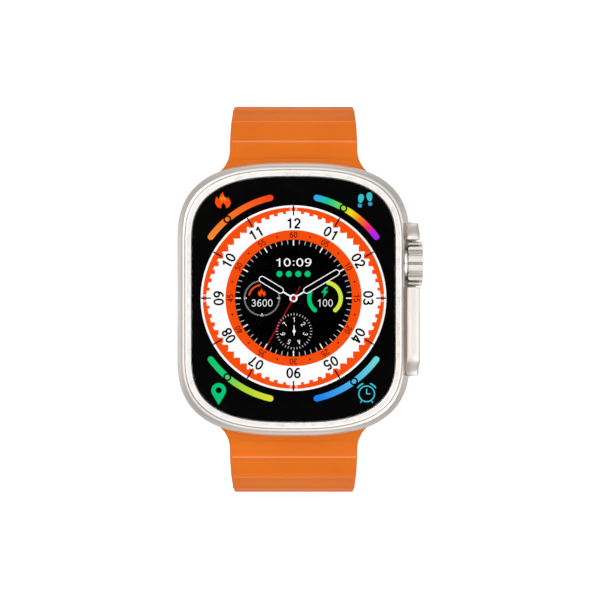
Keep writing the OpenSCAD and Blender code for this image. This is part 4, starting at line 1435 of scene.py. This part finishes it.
GLOW_STRENGTH = 1.05
ODD_STRENGTHS = {"black": 0.0, "white": 1.14}
DIAL_GLOWS = {
    "white": linear(253, 253, 255), "silver": linear(200, 200, 205), "black": grey(0.0),
    "orange": linear(255, 80, 10), "maroon": linear(96, 14, 0), "green": linear(0, 206, 122),
    "lime": linear(216, 238, 62), "red": linear(190, 22, 44), "crimson": linear(150, 8, 46),
    "cyan": linear(60, 160, 215), "teal": linear(50, 196, 205), "aqua": linear(62, 200, 215),
    "amber": linear(255, 130, 40),
}


def turn_share(clock):
    """A clock angle as the share that the radial gradient gives."""
    return ((90 - clock + 180) % 360) / 360


def dial_looks():
    """One glow for each ink."""
    looks = {name: glow("glow_" + name, colour, ODD_STRENGTHS.get(name, GLOW_STRENGTH))
             for name, colour in DIAL_GLOWS.items()}
    for name, (_, _, _, stops) in GAUGES.items():
        rows = sorted((turn_share(clock), linear(*rgb)) for clock, rgb in stops)
        looks[name] = glow_round("glow_" + name, CASE_X, DIAL_Y, rows, GLOW_STRENGTH)
    return looks


def underlay():
    """A black mask under the whole glass, which hides the gasket and the edge of the panel."""
    item = skin("dial_mask", [ring_at(GLASS_INSET + 0.03, DIAL_BASE + dz) for dz in (0.0005, 0.003)])
    item.data.materials.append(unlit_panel("dial_mask"))
    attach(item, "case")


def print_dial():
    """Makes one thin piece for each ink."""
    looks = dial_looks()
    for name, plates in INKS.items():
        points, faces = [], []
        for plate_points, plate_faces in plates:
            start = len(points)
            points += plate_points
            faces += [tuple(start + i for i in face) for face in plate_faces]
        mesh = mesh_of("dial_" + name, points, faces)
        turn_outward(mesh)
        mesh.materials.append(looks[name])
        item = placed("dial_" + name, mesh)
        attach(item, "case")


def draw_dial():
    """The whole picture of the display."""
    underlay()
    chapter_ring()
    inner_ring()
    figures("white", "10:09", 1.46, (0, 6.35), 0, 1, 1.45, 0.12)
    for x in (-2.5, -0.83, 0.83, 2.5):
        disc("green", 0.54, 1, (x, 4.3), 24)
    left_counter()
    right_counter()
    bottom_counter()
    hands()
    corner_gauges()
    print_dial()


# ---- stage
def sky():
    """An even bright sky that is dark overhead and a little dimmer on the diagonals."""
    world = bpy.data.worlds.new("studio")
    bpy.context.scene.world = world
    world.use_nodes = True
    s = Nodes(world.node_tree)
    back = s.tree.nodes["Background"]
    place = s.node("ShaderNodeTexCoord").outputs["Generated"]
    stops = ((0.0, 0.3), (0.2, 0.52), (0.5, 0.9), (0.8, 1.18), (0.94, 1.56), (0.985, 1.7), (0.9965, 0.0))
    seen = s.node("ShaderNodeMixRGB")
    seen.inputs["Color2"].default_value = grey(1.3)
    s.link(s.camera_ray(), seen.inputs["Fac"])
    s.link(s.ramp(s.parts(place)["Z"], *((at, grey(value)) for at, value in stops)), seen.inputs["Color1"])
    s.link(seen.outputs["Color"], back.inputs["Color"])
    s.link(s.mapped(s.diagonal_share(place), 1.14, 0.82), back.inputs["Strength"])


def studio_floor():
    """White floor, darker towards its corners, which the camera sees bright."""
    bpy.ops.mesh.primitive_plane_add(size=4, location=(0, 0, 0))
    floor = bpy.context.object
    floor.name = "floor"
    s = Surface("floor", grey(0.6), roughness=0.85, emission_color=grey(1.0))
    s.colour(s.ramp(s.diagonal_share(s.place), (0.0, grey(0.84)), (1.0, grey(0.46))))
    s.link(s.mapped(s.camera_ray(), 0.0, 0.6), s.shader.inputs["Emission Strength"])
    floor.data.materials.append(s.material)


def soft_box(name, where, size, power):
    """A square lamp that looks at the watch; sizes are in metres."""
    lamp = bpy.data.lights.new(name, "AREA")
    lamp.shape = "SQUARE"
    lamp.size = size
    lamp.energy = power
    item = placed(name, lamp)
    item.location = where
    item.rotation_euler = (Vector((0, 0, 0.05)) - Vector(where)).to_track_quat("-Z", "Y").to_euler()


def camera():
    """Straight down on the dial."""
    shot = bpy.data.cameras.new("camera")
    shot.sensor_width = 36
    shot.lens = 145.5
    shot.clip_start = 0.01
    item = placed("camera", shot)
    item.location = (0.003 * MM, -0.13 * MM, LIP_Z * MM + 0.43)
    bpy.context.scene.camera = item
    bpy.context.scene.view_settings.view_transform = "Standard"


# ---- the watch
SOFTENED = {
    "keeper": 0.22, "buckle_frame": 0.3, "buckle_tongue": 0.18, "sensor_ring": 0.12,
    "release_button_top": 0.12, "release_button_bottom": 0.12, "back_screws": 0.06,
    "lug_top": 0.15, "lug_bottom": 0.15,
}

camera()
sky()
studio_floor()
soft_box("key", (-0.42, 0.30, 0.62), 0.34, 1.1)
soft_box("fill", (0.38, -0.42, 0.50), 0.30, 0.9)
dress_cad_nodes()
case_shell()
bezel_lip()
crystal()
draw_dial()
back_cover()
crown()
crown_face()
buttons()
straps()
for node_name, edge_width in SOFTENED.items():
    soften(node_name, edge_width)
